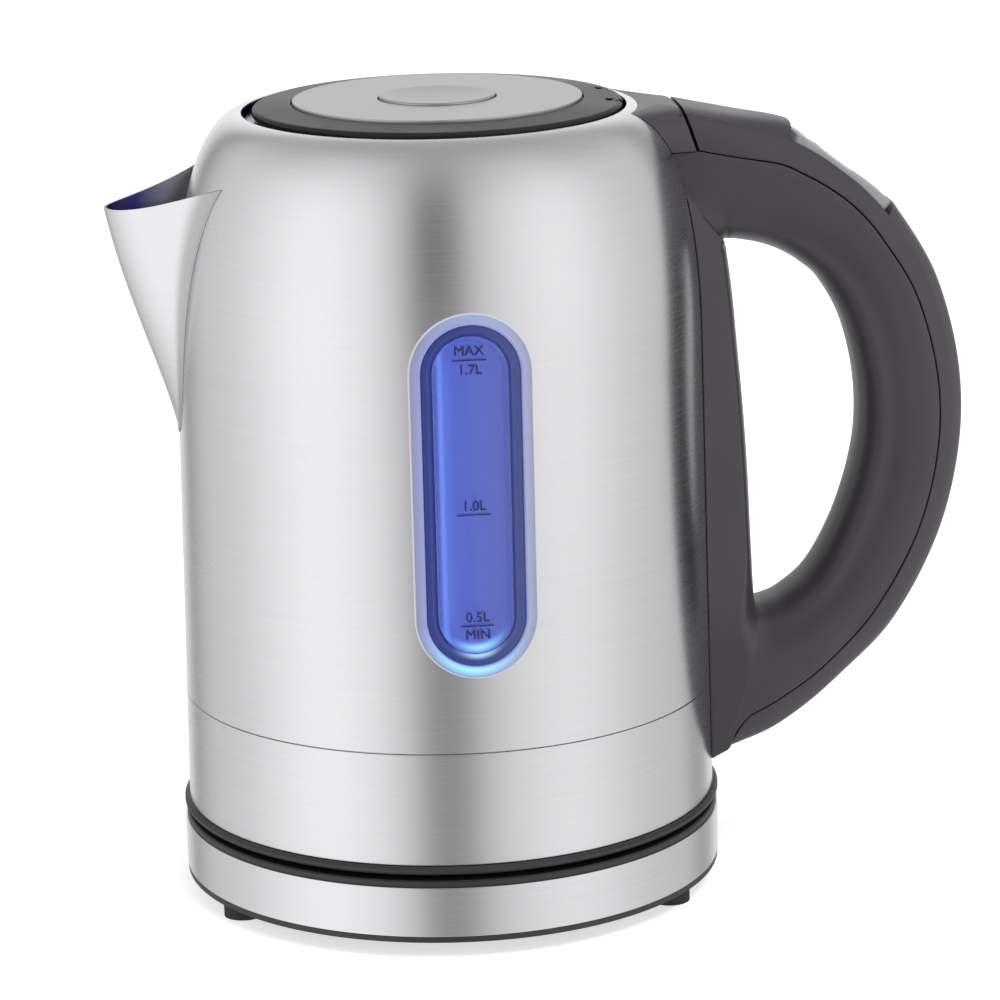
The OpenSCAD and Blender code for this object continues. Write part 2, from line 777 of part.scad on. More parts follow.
lid_boss_r = 34;
lid_boss_angle = 90;
lid_head_r = 2.2;
lid_screw_r = 1.1;
module lid_cup() {
  color(dark_grey) difference() {
    at_lid() union() {
      ring(cup_r, cup_r - 1.2, cup_bottom, lid_top - disc_t - 1.85);
      translate([0, 0, cup_bottom]) cylinder(r = cup_r, h = cup_t);
      around(3, lid_boss_r, lid_boss_angle) translate([0, 0, cup_bottom])
        cylinder(r = 3, h = lid_top - disc_t - 1.5 - cup_bottom);
      translate([spring_seat_x - lid_shift, -3, cup_bottom]) cube([1.2, 6, latch_z + latch_t + 1 - cup_bottom]);
    }
    at_lid() around(3, lid_boss_r, lid_boss_angle) translate([0, 0, cup_bottom - past]) {
      cylinder(r = lid_head_r + fit_gap, h = past + 1);
      cylinder(r = lid_screw_r + fit_gap, h = 30);
    }
    latch_slot(0);
  }
}

module lid_screws() {
  color(steel) at_lid() around(3, lid_boss_r, lid_boss_angle) translate([0, 0, cup_bottom + 0.1]) {
    cylinder(r = lid_head_r, h = 0.85);
    cylinder(r = lid_screw_r, h = lid_top - disc_t - 1.8 - cup_bottom);
  }
}

module lid_plate() {
  color(steel) at_lid() translate([0, 0, cup_bottom - 0.8 - touch]) cylinder(r = cup_r - 1, h = 0.8);
}

module lid_seal() {
  color([0.3, 0.3, 0.32]) difference() {
    at_lid() ring(cup_r + 2.4, cup_r + touch, neck_top + running_gap, ring_low - touch);
    hinge_slots();
    translate([hinge_x, 0, hinge_z]) rotate([90, 0, 0]) cylinder(r = ear_r + 0.2, h = 40, center = true);
    translate([-60, -latch_w / 2 - 2 * latch_play, neck_top]) cube([30, latch_w + 4 * latch_play, latch_t + 1]);
  }
}

module hinge_pin() {
  color(steel) translate([hinge_x, 0, hinge_z]) rotate([90, 0, 0])
    cylinder(r = pin_radius, h = 2 * ear_out - 0.2, center = true);
}

// The wedge under the button draws the latch back as far as the button goes down
wedge_left = -6.6;
wedge_face = -4.7;
window_left = -9.6;
window_right = 0.2 + wedge_face;
dish_depth = 0.9;

module lid_button() {
  top = lid_top - 0.35;
  skirt_low = lid_top - 11;
  latch_top = latch_z + latch_t;
  dish_r = (pow(button_r - 1.5, 2) + dish_depth * dish_depth) / (2 * dish_depth);
  slope_x = wedge_face + top - 1.5 - latch_top;
  color([0.72, 0.72, 0.73]) {
    at_lid() difference() {
      union() {
        translate([0, 0, top - 2]) cylinder(r = button_r, h = 2);
        ring(button_r, button_r - 1.2, skirt_low, top - 2 + touch);
        ring(button_r + 1.2, button_r - 1.2, skirt_low, skirt_low + 1.2);
      }
      translate([0, 0, top - dish_depth + dish_r]) sphere(r = dish_r);
      translate([-lid_shift, 0, 0]) latch_slot(button_travel);
    }
    rotate([90, 0, 0]) linear_extrude(height = 6, center = true) polygon([
      [wedge_left, top - 1.5], [wedge_left, latch_top + wedge_left - wedge_face], [slope_x, top - 1.5]]);
  }
}

module lid_latch() {
  color([0.6, 0.6, 0.6]) difference() {
    translate([-latch_tip, -latch_w / 2, latch_z]) cube([latch_tip + latch_rear, latch_w, latch_t]);
    rotate([90, 0, 0]) linear_extrude(height = 6.6, center = true) polygon([
      [window_left, latch_z - past], [window_right - latch_t - past, latch_z - past],
      [window_right + past, latch_z + latch_t + past], [window_left, latch_z + latch_t + past]]);
  }
}

// A coil spring along Z: a round wire on a helix, with its ends at z0 and z1
module coil(r, wire, turns, z0, z1) {
  per_turn = 12;
  sides = 6;
  n = turns * per_turn;
  skin([for (i = [0:n])
    let (a = 360 * i / per_turn, z = z0 + wire + (z1 - z0 - 2 * wire) * i / n,
         c = [r * cos(a), r * sin(a), z], e = [cos(a), sin(a), 0])
    [for (j = [0:sides - 1]) c + wire * (cos(360 * j / sides) * e - [0, 0, sin(360 * j / sides)])]]);
}

module button_springs() {
  color(steel) for (s = [-1, 1]) at_lid() translate([0, s * 10.2, 0])
    coil(2.4, 0.4, 5, cup_bottom + cup_t + touch, lid_top - 2.35 - touch);
}

module latch_spring() {
  color(steel) translate([latch_rear + touch, 0, latch_z + latch_t / 2]) rotate([0, 90, 0])
    coil(1.3, 0.25, 5, 0, spring_seat_x - latch_rear - 2 * touch);
}

// ---------------------------------------------------------------- Handle

// The handle's side view is drawn for a body of this radius, height and reach, and follows them
drawn_r = 72.25;
drawn_bottom = 25.6;
drawn_h = 192.3;
drawn_reach = 73.5;
function drawn(p) = [body_r1 + (p[0] - drawn_r) * handle_reach / drawn_reach,
                     body_bottom + (p[1] - drawn_bottom) * (straight_h + shoulder_h) / drawn_h];
// The finger gap's edge, from the top root round to the bottom root
inner_edge = [for (p = [[79, 178.3], [80.2, 178.2], [82.5, 178], [88.5, 176.7], [94.5, 174.3], [100.4, 170.5],
  [106, 165], [112.4, 153], [116.2, 136], [116, 118.5], [110.9, 99.5], [103, 84], [95, 76.8],
  [89.5, 74.5], [87.2, 74.4]]) drawn(p)];
// The outer edge at the same stations, as if the panel's flat were not cut
outer_edge = [for (p = [[66.8, 216.5], [82, 213.4], [96.5, 210.6], [105, 206.2], [112.5, 200.9], [120, 194.2],
  [128, 184.3], [138.6, 165.8], [145, 141], [145.2, 117], [139, 91.3], [125.6, 66.6], [108.2, 48.9],
  [92.6, 39.2], [80.6, 34.8]]) drawn(p)];
// Distance of the parting line from the outer edge, and half the grip's width, at the same stations
parting = [[12.6, 1.05], [11.6, 1.04], [11, 1.03], [10.4, 1.02], [9.8, 1], [9.3, 1], [9, 1], [8.6, 1], [8.4, 1],
  [8.4, 1], [8.6, 1], [9, 1.01], [9.6, 1.04], [10, 1.07], [9, 1.09]];
// The section's exponent: round along the grip, square towards the lower root, and square
// on the finger side of the upper root as well, so that the flanks meet the strip
bulge = 2.6;
function ease(x) = let (c = max(0, min(1, x))) c * c * (3 - 2 * c);
function outer_power(t) = bulge + 2.6 * ease((t - 11.4) / 2.4);
function inner_power(t) = outer_power(t) + 3 * ease(1 - t / 1.3);

panel_tilt = 37.4;
panel_centre = [drawn([111.65, 197.7])[0], 0, drawn([111.65, 197.7])[1]];
panel_normal = [sin(panel_tilt), 0, cos(panel_tilt)];
pocket_depth = 5;
pocket_from = 2.12;
pocket_to = 5.79;
pocket_half = panel_w / 2 + 0.45;

function curve_xz(p) = [p[0], 0, p[1]];
// Frame of the handle's section at station t: centre, outward direction, half depth, half
// width, distance of the parting line and the exponents of its finger side and outer side
function section(t, root) =
  let (a = curve_xz(through(root, t)), b = curve_xz(through(outer_edge, t)), d = through(parting, t))
  [(a + b) / 2, unit(b - a), norm(b - a) / 2, d[1] * grip_w / 2, d[0], [inner_power(t), outer_power(t)]];
// A point of the section s at angle q, inset from it: a rounded rectangle's power curve
function at_angle(s, q, inset) =
  let (n = s[5][cos(q) < 0 ? 0 : 1], u = side(cos(q)) * (s[2] - inset) * pow(abs(cos(q)), 2 / n),
       v = side(sin(q)) * (s[3] - inset) * pow(abs(sin(q)), 2 / n))
  s[0] + u * s[1] + [0, v, 0];
// Angle at which the inset curve has the depth u, and the one at which it has the width v
function angle_at(s, u, inset) =
  acos(side(u) * pow(min(abs(u) / (s[2] - inset), 1), s[5][u < 0 ? 0 : 1] / 2));
function angle_across(s, v) = side(v) * asin(pow(min(abs(v) / s[3], 1), s[5][1] / 2));
// Lowers a point along the section's outward direction d to the plane at the given depth
function lowered(p, d, depth) =
  let (h = (p - panel_centre) * panel_normal + depth) h > 0 ? p - d * (h / (d * panel_normal)) : p;
// The cover's band at station t: the outer side with the panel's pocket, then the inner side.
// Below the pocket the outer side stays flat until it runs out of the panel's plane.
flat_to = 7;
flank = 7;
crown = [1, 0.98, 0.66, 0.33, 0, -0.33, -0.66, -0.98, -1];
function cover_outer(t) =
  let (s = section(t, inner_edge), q_end = angle_at(s, s[2] - s[4], 0), q_top = angle_across(s, pocket_half),
       flanks = [for (i = [0:flank - 1]) q_end + (q_top - q_end) * i / flank],
       flat = t > pocket_from && t < flat_to, open = flat && t < pocket_to,
       rim = function(q) flat ? lowered(at_angle(s, q, 0), s[1], 0) : at_angle(s, q, 0))
  concat(
    [for (q = flanks) rim(q)],
    [for (c = crown) let (q = angle_across(s, c * pocket_half))
      open && abs(c) < 1 ? lowered(at_angle(s, q, 0), s[1], pocket_depth) : rim(q)],
    [for (i = [flank - 1:-1:0]) rim(-flanks[i])]);
function cover_inner(t) =
  let (s = section(t, inner_edge), q_end = angle_at(s, s[2] - s[4], shell_wall), n = 2 * flank + len(crown) - 1,
       deep = t > pocket_from - 0.25 && t < pocket_to + 0.25, flat = t > pocket_from && t < flat_to + 0.25)
  [for (i = [0:n]) let (p = at_angle(s, -q_end + 2 * q_end * i / n, shell_wall))
   deep ? lowered(p, s[1], pocket_depth + shell_wall) : flat ? lowered(p, s[1], shell_wall) : p];

stations = 14;
cover_steps = concat([for (i = [0:10]) pocket_from * i / 10 - (i == 10 ? 0.02 : 0)],
  [for (i = [0:14]) pocket_from + 0.02 + (pocket_to - pocket_from - 0.04) * i / 14],
  [for (i = [0:4]) pocket_to + 0.02 + (flat_to - pocket_to - 0.04) * i / 4],
  [for (i = [0:28]) flat_to + 0.02 + (stations - 0.35 - flat_to) * i / 28]);

module grip_cover() {
  color(dark_grey)
    skin([for (t = turned_round(cover_steps)) concat(cover_outer(t), cover_inner(t))]);
}

// The inner half of the grip ends on the strip, so its first station leans further in
grip_root = concat([drawn([76.2, 178.4])], [for (i = [1:stations]) inner_edge[i]]);
grip_outer_root = drawn([62.8, 217]);
root_lean = 0.4;
function grip_section(t) =
  let (s = section(t, grip_root), lean = max(0, 1 - t),
       b = curve_xz(through(outer_edge, t)) + lean * (curve_xz(grip_outer_root) - curve_xz(outer_edge[0])),
       a = curve_xz(through(grip_root, t)))
  [(a + b) / 2, unit(b - a), norm(b - a) / 2, s[3], s[4] + lean * root_lean, s[5]];
function grip_band(t) =
  let (s = grip_section(t), u = s[2] - s[4] - parting_gap, n = 18,
       q0 = angle_at(s, u, 0), q1 = angle_at(s, u, shell_wall))
  concat([for (i = [0:n]) at_angle(s, -q0 - (360 - 2 * q0) * i / n, 0)],
         [for (i = [n:-1:0]) at_angle(s, -q1 - (360 - 2 * q1) * i / n, shell_wall)]);

module grip_inner() {
  steps = 48;
  color(dark_grey) skin([for (i = [steps:-1:0]) grip_band(stations * i / steps)]);
}

// The strip on the body: at each height it spans the width strip_w on the body and narrows
// to its front, which bows out by strip_bow between the grip's roots. At the lower root it
// hardly narrows, so that its flanks run on into the grip's.
strip_front = [for (p = [[75.1, 32.6], [80.3, 35.2], [81.2, 40], [84.2, 60], [86.4, 74], [86.7, 76],
  [86.5, 79], [86.3, 82], [86, 85], [85.8, 88], [85.6, 91], [84.7, 114.3], [83.6, 132], [82.2, 148.8],
  [80.9, 164], [80.5, 167], [80.2, 170], [79.8, 173], [79.4, 176], [78.9, 177.3], [75.4, 178.3],
  [72, 189.6], [66.7, 203.6], [66.3, 205]]) drawn(p)];
strip_bow = 3.4;
bow_from = drawn([0, 74.5])[1];
bow_to = drawn([0, 177.3])[1];
bow_run = 12;
function bow_at(z) = strip_bow * ease((z - bow_from) / bow_run) * ease((bow_to - z) / bow_run);
// The strip's own stations: closer together where it lies on the shoulder
shoulder_from = 20;
strip_steps = concat([for (i = [0:shoulder_from]) i],
  [for (i = [1:12]) shoulder_from + i * (len(strip_front) - 1 - shoulder_from) / 12]);
strip_gap = 0.12;
function strip_ring(x, z) =
  let (r = body_r(z) + strip_gap, half = strip_w / 2, bow = bow_at(z), corner = x - bow - strip_gap,
       nose = half - 0.4 - 2.2 * ease((z - body_bottom - 32) / 26),
       x_back = function(y) sqrt(r * r - y * y), x0 = x_back(half), run = corner - 1 - x0,
       outer = concat([[x0, half, z]],
         [for (i = [1:4]) let (f = i / 4) [x0 + run * f, half - (half - nose) * f, z]],
         [for (i = [1:7]) let (y = nose - 0.4 - (i - 1) * (nose - 0.4) / 3)
            [corner + bow * (1 - pow(y / nose, 2)), y, z]],
         [for (i = [4:-1:1]) let (f = i / 4) [x0 + run * f, -half + (half - nose) * f, z]],
         [[x0, -half, z]]),
       mid_x = x_back(0))
  concat(outer, [for (i = [len(outer) - 1:-1:0]) let (p = outer[i], y = p[1] * (half - shell_wall) / half)
    [max(x_back(y), min(p[0] - shell_wall, mid_x + (p[0] - mid_x) * 0.75)), y, z]]);

module handle_strip() {
  front = function(t) t > shoulder_from ? through(strip_front, t) : strip_front[t];
  color(dark_grey) skin([for (t = strip_steps) let (p = front(t)) strip_ring(p[0], p[1])]);
}

// The hood covers the hinge between the lid opening and the grip's cover. A tongue on its
// front reaches into the grip and closes the joint from sight. Each row holds the front's
// distance and height, the half widths at the back and at the front, and how many of the
// front's points on either side belong to the tongue.
hood = [[69.2, 205.2, 17.2, 16.4, 4], [67.9, 208, 18.4, 16, 4], [67.5, 209.2, 18.9, 15.8, 2],
  [66.9, 211.5, 19.8, 15.4, 2], [66.7, 212.2, 20.2, 15.2, -1], [66.2, 214, 21, 14.4, -1],
  [65.6, 215.8, 21.9, 12.6, -1], [64, 216.6, 22.2, 10.6, -1], [59.5, 217.3, 22.2, 9, -1]];
hood_gap = 0.12;
hood_round = 1.6;
front_points = 6;
tongue_x = drawn([72.4, 0])[0];
tongue_back = drawn([70.2, 0])[0];
tongue_low = drawn([0, 200])[1];
tongue_play = 0.3;
function hood_ring(row) =
  let (p = drawn([row[0], row[1]]), r = body_r(p[1]) + hood_gap, n = front_points,
       x_back = function(y) sqrt(r * r - y * y))
  concat([for (i = [-n:n]) let (bent = p[0] - hood_round * pow(abs(i) / n, 4))
           [abs(i) <= row[4] ? tongue_x : bent, row[3] * i / n, p[1]]],
         [for (i = [n:-1:-n]) let (y = row[2] * i / n) [min(x_back(y), p[0] - 2), y, p[1]]]);
// The tongue's own outline below the hood, a little smaller than the hood's tongue
function tongue_ring(z) =
  let (n = front_points, x = tongue_x - tongue_play,
       half = hood[0][3] * hood[0][4] / n - tongue_play)
  concat([for (i = [-n:n]) [x - max(0, abs(i) - hood[0][4]) * (x - tongue_back) / 2,
                            max(-half, min(half, hood[0][3] * i / n)), z]],
         [for (i = [n:-1:-n]) [tongue_back - tongue_play, (half - tongue_play) * i / n, z]]);

module hinge_hood() {
  low = drawn([hood[0][0], hood[0][1]])[1];
  rings = concat([tongue_ring(tongue_low), tongue_ring(low - tongue_play)],
                 [for (row = hood) hood_ring(row)]);
  color(dark_grey) skin(turned_round(rings));
}

module handle_brackets() {
  plate = 1.4;
  for (z = [body_bottom + 24, shoulder_z + 4]) color(steel)
    translate([body_r(z) + 0.3, -7, z - 9]) cube([plate, 14, 18]);
}

// ---------------------------------------------------------------- Control panel

// The panel's own frame: origin at the middle of its face, +X down the slope, +Z outwards
module on_panel() {
  translate(panel_centre) rotate([0, panel_tilt, 0]) children();
}

plate_face_t = 1.4;
board_t = 0.8;
board_top = -pocket_depth + 0.2 + board_t;
switch_h = 0.5;
key_low = board_top + switch_h + key_travel + 0.2;
key_proud = 0.35;
flange_t = 0.8;
flange_w = 0.7;
key_play = 0.2;
start_x = 9.2;
key_columns = [-12.2, -5.8];
key_y = 5.4;
key_places = [for (x = key_columns, s = [-1, 1]) [x, s * key_y]];

// A block with round corners of radius r, exact
module rounded_block(l, w, r, z0, z1) {
  translate([0, 0, z0]) linear_extrude(height = z1 - z0) union() {
    square([l - 2 * r, w], center = true);
    square([l, w - 2 * r], center = true);
    for (x = [-1, 1], y = [-1, 1]) translate([x * (l / 2 - r), y * (w / 2 - r)]) circle(r = r);
  }
}

module control_panel() {
  color([0.62, 0.62, 0.63]) on_panel() difference() {
    rounded_block(panel_l, panel_w, 3, -pocket_depth + 0.15, 0);
    rounded_block(panel_l - 2, panel_w - 2, 1.6, -pocket_depth - past, -plate_face_t);
    translate([start_x, 0, -3]) cylinder(d = start_d + 2 * key_play, h = 4);
    for (p = key_places) translate([p[0], p[1], 0])
      rounded_block(key_w + 2 * key_play, key_l + 2 * key_play, 1, -3, 1);
  }
}

module control_board() {
  color([0.1, 0.35, 0.2]) on_panel()
    rounded_block(panel_l - 2.4, panel_w - 2.4, 1.5, board_top - board_t, board_top);
}

module key_switches() {
  color("gainsboro") on_panel() {
    translate([start_x, 0, 0]) rounded_block(4, 4, 0.5, board_top + touch, board_top + switch_h);
    for (p = key_places) translate([p[0], p[1], 0])
      rounded_block(3, 4, 0.5, board_top + touch, board_top + switch_h);
  }
}

module small_key(i) {
  color([0.7, 0.7, 0.71]) on_panel() translate([key_places[i][0], key_places[i][1], 0]) {
    rounded_block(key_w, key_l, 0.9, key_low, key_proud);
    rounded_block(key_w + 2 * flange_w, key_l + 2 * flange_w, 0.9, key_low, -plate_face_t - 0.1);
  }
}

module start_key() {
  color([0.75, 0.75, 0.76]) on_panel() translate([start_x, 0, 0]) {
    translate([0, 0, key_low]) cylinder(d = start_d, h = key_proud - key_low);
    translate([0, 0, key_low]) cylinder(d = start_d + 2 * flange_w, h = -plate_face_t - 0.1 - key_low);
  }
}
module key_1() { small_key(0); }
module key_2() { small_key(1); }
module key_3() { small_key(2); }
module key_4() { small_key(3); }

base_bottom_cover();
base_feet();
base_screws();
base_band();
base_top_cover();
cord_gland();
terminal_block();
base_leads();
plug_tower();
plug_contacts();
bottom_ring();
bottom_cover();
bottom_screws();
floor_studs();
kettle_socket();
socket_contacts();
thermal_cutouts();
heating_element();
heat_spreader();
heating_plate();
plate_seal();
temperature_probe();
lower_band();
body_shell();
spout();
filter_frame();
filter_mesh();
window_bezel();
gauge_frame();
gauge_window();
light_chamber();
gauge_seal();
light_board();
neck_ring();
latch_keeper();
handle_strip();
hinge_hood();
grip_inner();
grip_cover();
handle_brackets();
control_panel();
control_board();
key_switches();
start_key();
key_1();
key_2();
key_3();
key_4();
lid_ring();
lid_disc();
lid_cup();
lid_plate();
lid_seal();
lid_screws();
hinge_pin();
lid_button();
button_springs();
lid_latch();
latch_spring();
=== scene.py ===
"""Looks of the cordless electric kettle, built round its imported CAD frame.

Arrays are in millimetres in the row frame; meshes and lights are in metres.
Z is up, the handle is towards +X, the spout towards -X and the window towards -Y.
"""

import json
import math

import bpy
import numpy as np
from mathutils import Matrix, Vector


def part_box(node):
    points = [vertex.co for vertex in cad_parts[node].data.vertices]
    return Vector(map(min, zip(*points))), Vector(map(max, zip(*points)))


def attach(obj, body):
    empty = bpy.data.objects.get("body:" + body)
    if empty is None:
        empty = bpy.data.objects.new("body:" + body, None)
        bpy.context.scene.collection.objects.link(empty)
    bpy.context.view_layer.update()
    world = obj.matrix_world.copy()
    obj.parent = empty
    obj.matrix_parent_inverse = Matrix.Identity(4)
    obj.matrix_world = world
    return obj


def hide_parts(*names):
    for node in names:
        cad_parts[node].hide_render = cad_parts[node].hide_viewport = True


MM = 0.001
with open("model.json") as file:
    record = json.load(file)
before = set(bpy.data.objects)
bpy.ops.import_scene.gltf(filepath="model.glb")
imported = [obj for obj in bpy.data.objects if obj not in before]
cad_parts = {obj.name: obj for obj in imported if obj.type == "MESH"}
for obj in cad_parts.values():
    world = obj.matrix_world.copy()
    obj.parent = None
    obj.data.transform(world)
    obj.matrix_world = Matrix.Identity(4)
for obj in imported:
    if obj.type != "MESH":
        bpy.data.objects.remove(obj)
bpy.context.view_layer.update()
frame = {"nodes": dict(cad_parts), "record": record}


# ------------------------------------------------------------------ numbers of the frame

def low(node):
    return np.array(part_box(node)[0]) / MM


def high(node):
    return np.array(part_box(node)[1]) / MM


BASE_R = high("base_band")[0]
BAND_BOTTOM, BAND_TOP = low("base_band")[2], high("base_band")[2]
BODY_BOTTOM = low("lower_band")[2]
BODY_R0 = high("lower_band")[0]
SEAM_Z = low("body_shell")[2] - 0.05
TOP_Z = high("body_shell")[2]
STRAIGHT_H = 125.6
SHOULDER_Z = BODY_BOTTOM + STRAIGHT_H
BODY_R1 = 72.25
OPENING_R = 52.6
WALL = 0.8
WINDOW_W, WINDOW_H = 32.8, 98.0
WINDOW_BOTTOM = BODY_BOTTOM + 51.8
BEZEL_W, FRAME_W = 3.2, 3.0
LID_SHIFT = 1.0
LID_TOP = TOP_Z + 2.6


# ------------------------------------------------------------------ curves

def bezier(p, t):
    """Cubic curve through p[0] and p[3]: sum of C(3,i) (1-t)^(3-i) t^i p[i], t an array."""
    t = np.asarray(t, float)[..., None]
    a, b, c, d = (np.asarray(q, float) for q in p)
    return (1 - t) ** 3 * a + 3 * t * (1 - t) ** 2 * b + 3 * t * t * (1 - t) * c + t ** 3 * d


def through(p, t):
    """Catmull-Rom curve through the rows of p at the places t, from 0 to len(p) - 1."""
    p = np.asarray(p, float)
    t = np.asarray(t, float)
    n = len(p) - 1
    i = np.minimum(np.floor(t).astype(int), n - 1)
    f = (t - i)[..., None]
    a, b, c, d = p[np.maximum(i - 1, 0)], p[i], p[i + 1], p[np.minimum(i + 2, n)]
    return 0.5 * (2 * b + (c - a) * f + (2 * a - 5 * b + 4 * c - d) * f ** 2
                  + (3 * b - a - 3 * c + d) * f ** 3)


def shoulder(t, off=0.0):
    """Outline of the shoulder (radius, height) from the wall to the lid opening."""
    return bezier([[BODY_R1 + off, SHOULDER_Z], [BODY_R1 + off, SHOULDER_Z + 46],
                   [OPENING_R + 10.1 + off / 2, TOP_Z - 0.6 + off], [OPENING_R, TOP_Z + off]], t)


def straight_r(z):
    return BODY_R0 + (BODY_R1 - BODY_R0) * (z - BODY_BOTTOM) / STRAIGHT_H


SHOULDER_LINE = shoulder(np.linspace(0, 1, 2001))


def body_r(z):
    """Outer radius of the body at the heights z: the wall's cone, then the shoulder's curve."""
    z = np.asarray(z, float)
    return np.where(z <= SHOULDER_Z, straight_r(z),
                    np.interp(z, SHOULDER_LINE[:, 1], SHOULDER_LINE[:, 0]))


def rounded(corners, steps=5, near=0.25):
    """Closed outline through corners [x, z, radius], each corner replaced by an arc of its
    radius, with one more point just outside each arc so that shading stays on the arc."""
    out = []
    pts = [np.array(c[:2], float) for c in corners]
    for i, c in enumerate(corners):
        p, a, b = pts[i], pts[i - 1], pts[(i + 1) % len(pts)]
        r = c[2] if len(c) > 2 else 0
        if r == 0:
            out.append(p)
            continue
        u, v = (a - p) / np.linalg.norm(a - p), (b - p) / np.linalg.norm(b - p)
        half = math.acos(max(-1, min(1, float(u @ v)))) / 2
        reach = r / math.tan(half)
        centre = p + (u + v) / np.linalg.norm(u + v) * r / math.sin(half)
        start, end = p + u * reach, p + v * reach
        a0 = math.atan2(*(start - centre)[::-1])
        turn = math.atan2(*(end - centre)[::-1]) - a0
        turn = (turn + math.pi) % (2 * math.pi) - math.pi
        if np.linalg.norm(a - start) > 3 * near:
            out.append(start + u * near)
        for k in range(steps + 1):
            w = a0 + turn * k / steps
            out.append(centre + r * np.array([math.cos(w), math.sin(w)]))
        if np.linalg.norm(b - end) > 3 * near:
            out.append(end + v * near)
    return np.array(out)


# ------------------------------------------------------------------ meshes

def grid_faces(rows, cols, wrap_rows, wrap_cols):
    """Quads of a rows x cols net of points, wrapped either way."""
    i = np.arange(rows if wrap_rows else rows - 1)[:, None]
    j = np.arange(cols if wrap_cols else cols - 1)[None, :]
    i1, j1 = (i + 1) % rows, (j + 1) % cols
    return np.stack([i * cols + j, i * cols + j1, i1 * cols + j1, i1 * cols + j], -1).reshape(-1, 4)


def volume(points, polys):
    """Signed volume of a closed shell of polygons, each split into a fan of triangles."""
    total = 0.0
    for f in polys:
        p = points[list(f)]
        total += float(np.einsum("ij,ij->", np.cross(p[1:-1], p[2:]), p[:1] + 0 * p[1:-1]))
    return total / 6


def outward(points, polys):
    """The polygons of a closed shell, turned so that their normals point outwards."""
    return [f[::-1] for f in polys] if volume(points, polys) < 0 else polys


def make_mesh(name, shells):
    verts, polys, base = [], [], 0
    for points, faces in shells:
        polys += [[k + base for k in f] for f in outward(points, [list(f) for f in faces])]
        verts.append(points)
        base += len(points)
    mesh = bpy.data.meshes.new(name)
    mesh.from_pydata((np.concatenate(verts) * MM).tolist(), [], polys)
    mesh.update()
    return mesh


def add_piece(name, shells, body, slot, replaces=(), angle=35, cuts=(), uv=None):
    """A named piece at the origin from closed shells [(points in mm, polygons)]. The shells
    in cuts are taken away from the first by exact Booleans; uv(points) gives the map "along" in mm."""
    obj = bpy.data.objects.new(name, make_mesh(name, shells[:1]))
    bpy.context.scene.collection.objects.link(obj)
    for shell in cuts:
        take_away(obj, shell)
    if shells[1:]:
        obj.data = make_mesh(name, [net_of(obj.data)] + shells[1:])
    mesh = obj.data
    if uv:
        write_uv(mesh, uv)
    mesh.shade_smooth()
    mesh.set_sharp_from_angle(angle=math.radians(angle))
    mesh.materials.clear()
    mesh.materials.append(finishes[slot])
    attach(obj, body)
    if replaces:
        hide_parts(*replaces)
    return obj


def net_of(mesh):
    """Points in mm and polygons of a mesh."""
    co = np.zeros(len(mesh.vertices) * 3)
    mesh.vertices.foreach_get("co", co)
    return co.reshape(-1, 3) / MM, [list(f.vertices) for f in mesh.polygons]


def take_away(obj, shell):
    mesh = make_mesh("cutter", [shell])
    tool = bpy.data.objects.new("cutter", mesh)
    bpy.context.scene.collection.objects.link(tool)
    mod = obj.modifiers.new("cut", "BOOLEAN")
    mod.operation, mod.object, mod.solver = "DIFFERENCE", tool, "EXACT"
    whole = obj.data
    left = bpy.data.meshes.new_from_object(obj.evaluated_get(bpy.context.evaluated_depsgraph_get()))
    obj.modifiers.clear()
    obj.data = left
    left.name = whole.name
    bpy.data.objects.remove(tool)
    bpy.data.meshes.remove(mesh)
    bpy.data.meshes.remove(whole)


def write_uv(mesh, uv):
    """Stores uv(points) = (u, v) in metres per corner as the map "along". A polygon that
    lies across the place where u starts again is unwrapped to one side of it."""
    co = np.zeros(len(mesh.vertices) * 3)
    mesh.vertices.foreach_get("co", co)
    loops = np.zeros(len(mesh.loops), int)
    mesh.loops.foreach_get("vertex_index", loops)
    starts = np.zeros(len(mesh.polygons), int)
    mesh.polygons.foreach_get("loop_start", starts)
    face_of = np.searchsorted(starts, np.arange(len(loops)), side="right") - 1
    out = uv(co.reshape(-1, 3) / MM)[loops] * MM
    span = 2 * math.pi * BODY_R1 * MM
    out[:, 0] -= span * np.round((out[:, 0] - out[starts[face_of], 0]) / span)
    mesh.uv_layers.new(name="along").data.foreach_set("uv", out.astype(np.float32).ravel())


def uv_round(points):
    """u = the way round at the body's radius from the handle's side, v = height, and on
    the shoulder height plus the way inwards, which keeps it close to the true distance."""
    turn = np.arctan2(points[:, 1], points[:, 0]) % (2 * math.pi)
    return np.stack([turn * BODY_R1, points[:, 2] + BODY_R1 - np.hypot(points[:, 0], points[:, 1])], 1)


def lathe(profile, cols=192, x=0.0):
    """Closed outline (r, z) turned round the upright axis at x: (x + r cos a, r sin a, z)."""
    a = np.arange(cols) * 2 * math.pi / cols
    r, z = profile[:, :1], profile[:, 1:]
    points = np.stack([x + r * np.cos(a), r * np.sin(a), z + 0 * a], -1).reshape(-1, 3)
    return points, grid_faces(len(profile), cols, True, True)


def turned_solid(profile, cols=160, x=0.0):
    """Outline (r, z) from the axis back to the axis, turned round it, its poles closed."""
    a = np.arange(cols) * 2 * math.pi / cols
    r, z = profile[1:-1, :1], profile[1:-1, 1:]
    points = np.stack([x + r * np.cos(a), r * np.sin(a), z + 0 * a], -1).reshape(-1, 3)
    n, last = len(points), len(points) - cols
    polys = grid_faces(len(r), cols, False, True).tolist()
    polys += [[n, (j + 1) % cols, j] for j in range(cols)]
    polys += [[n + 1, last + j, last + (j + 1) % cols] for j in range(cols)]
    return np.concatenate([points, [[x, 0, profile[0, 1]], [x, 0, profile[-1, 1]]]]), polys


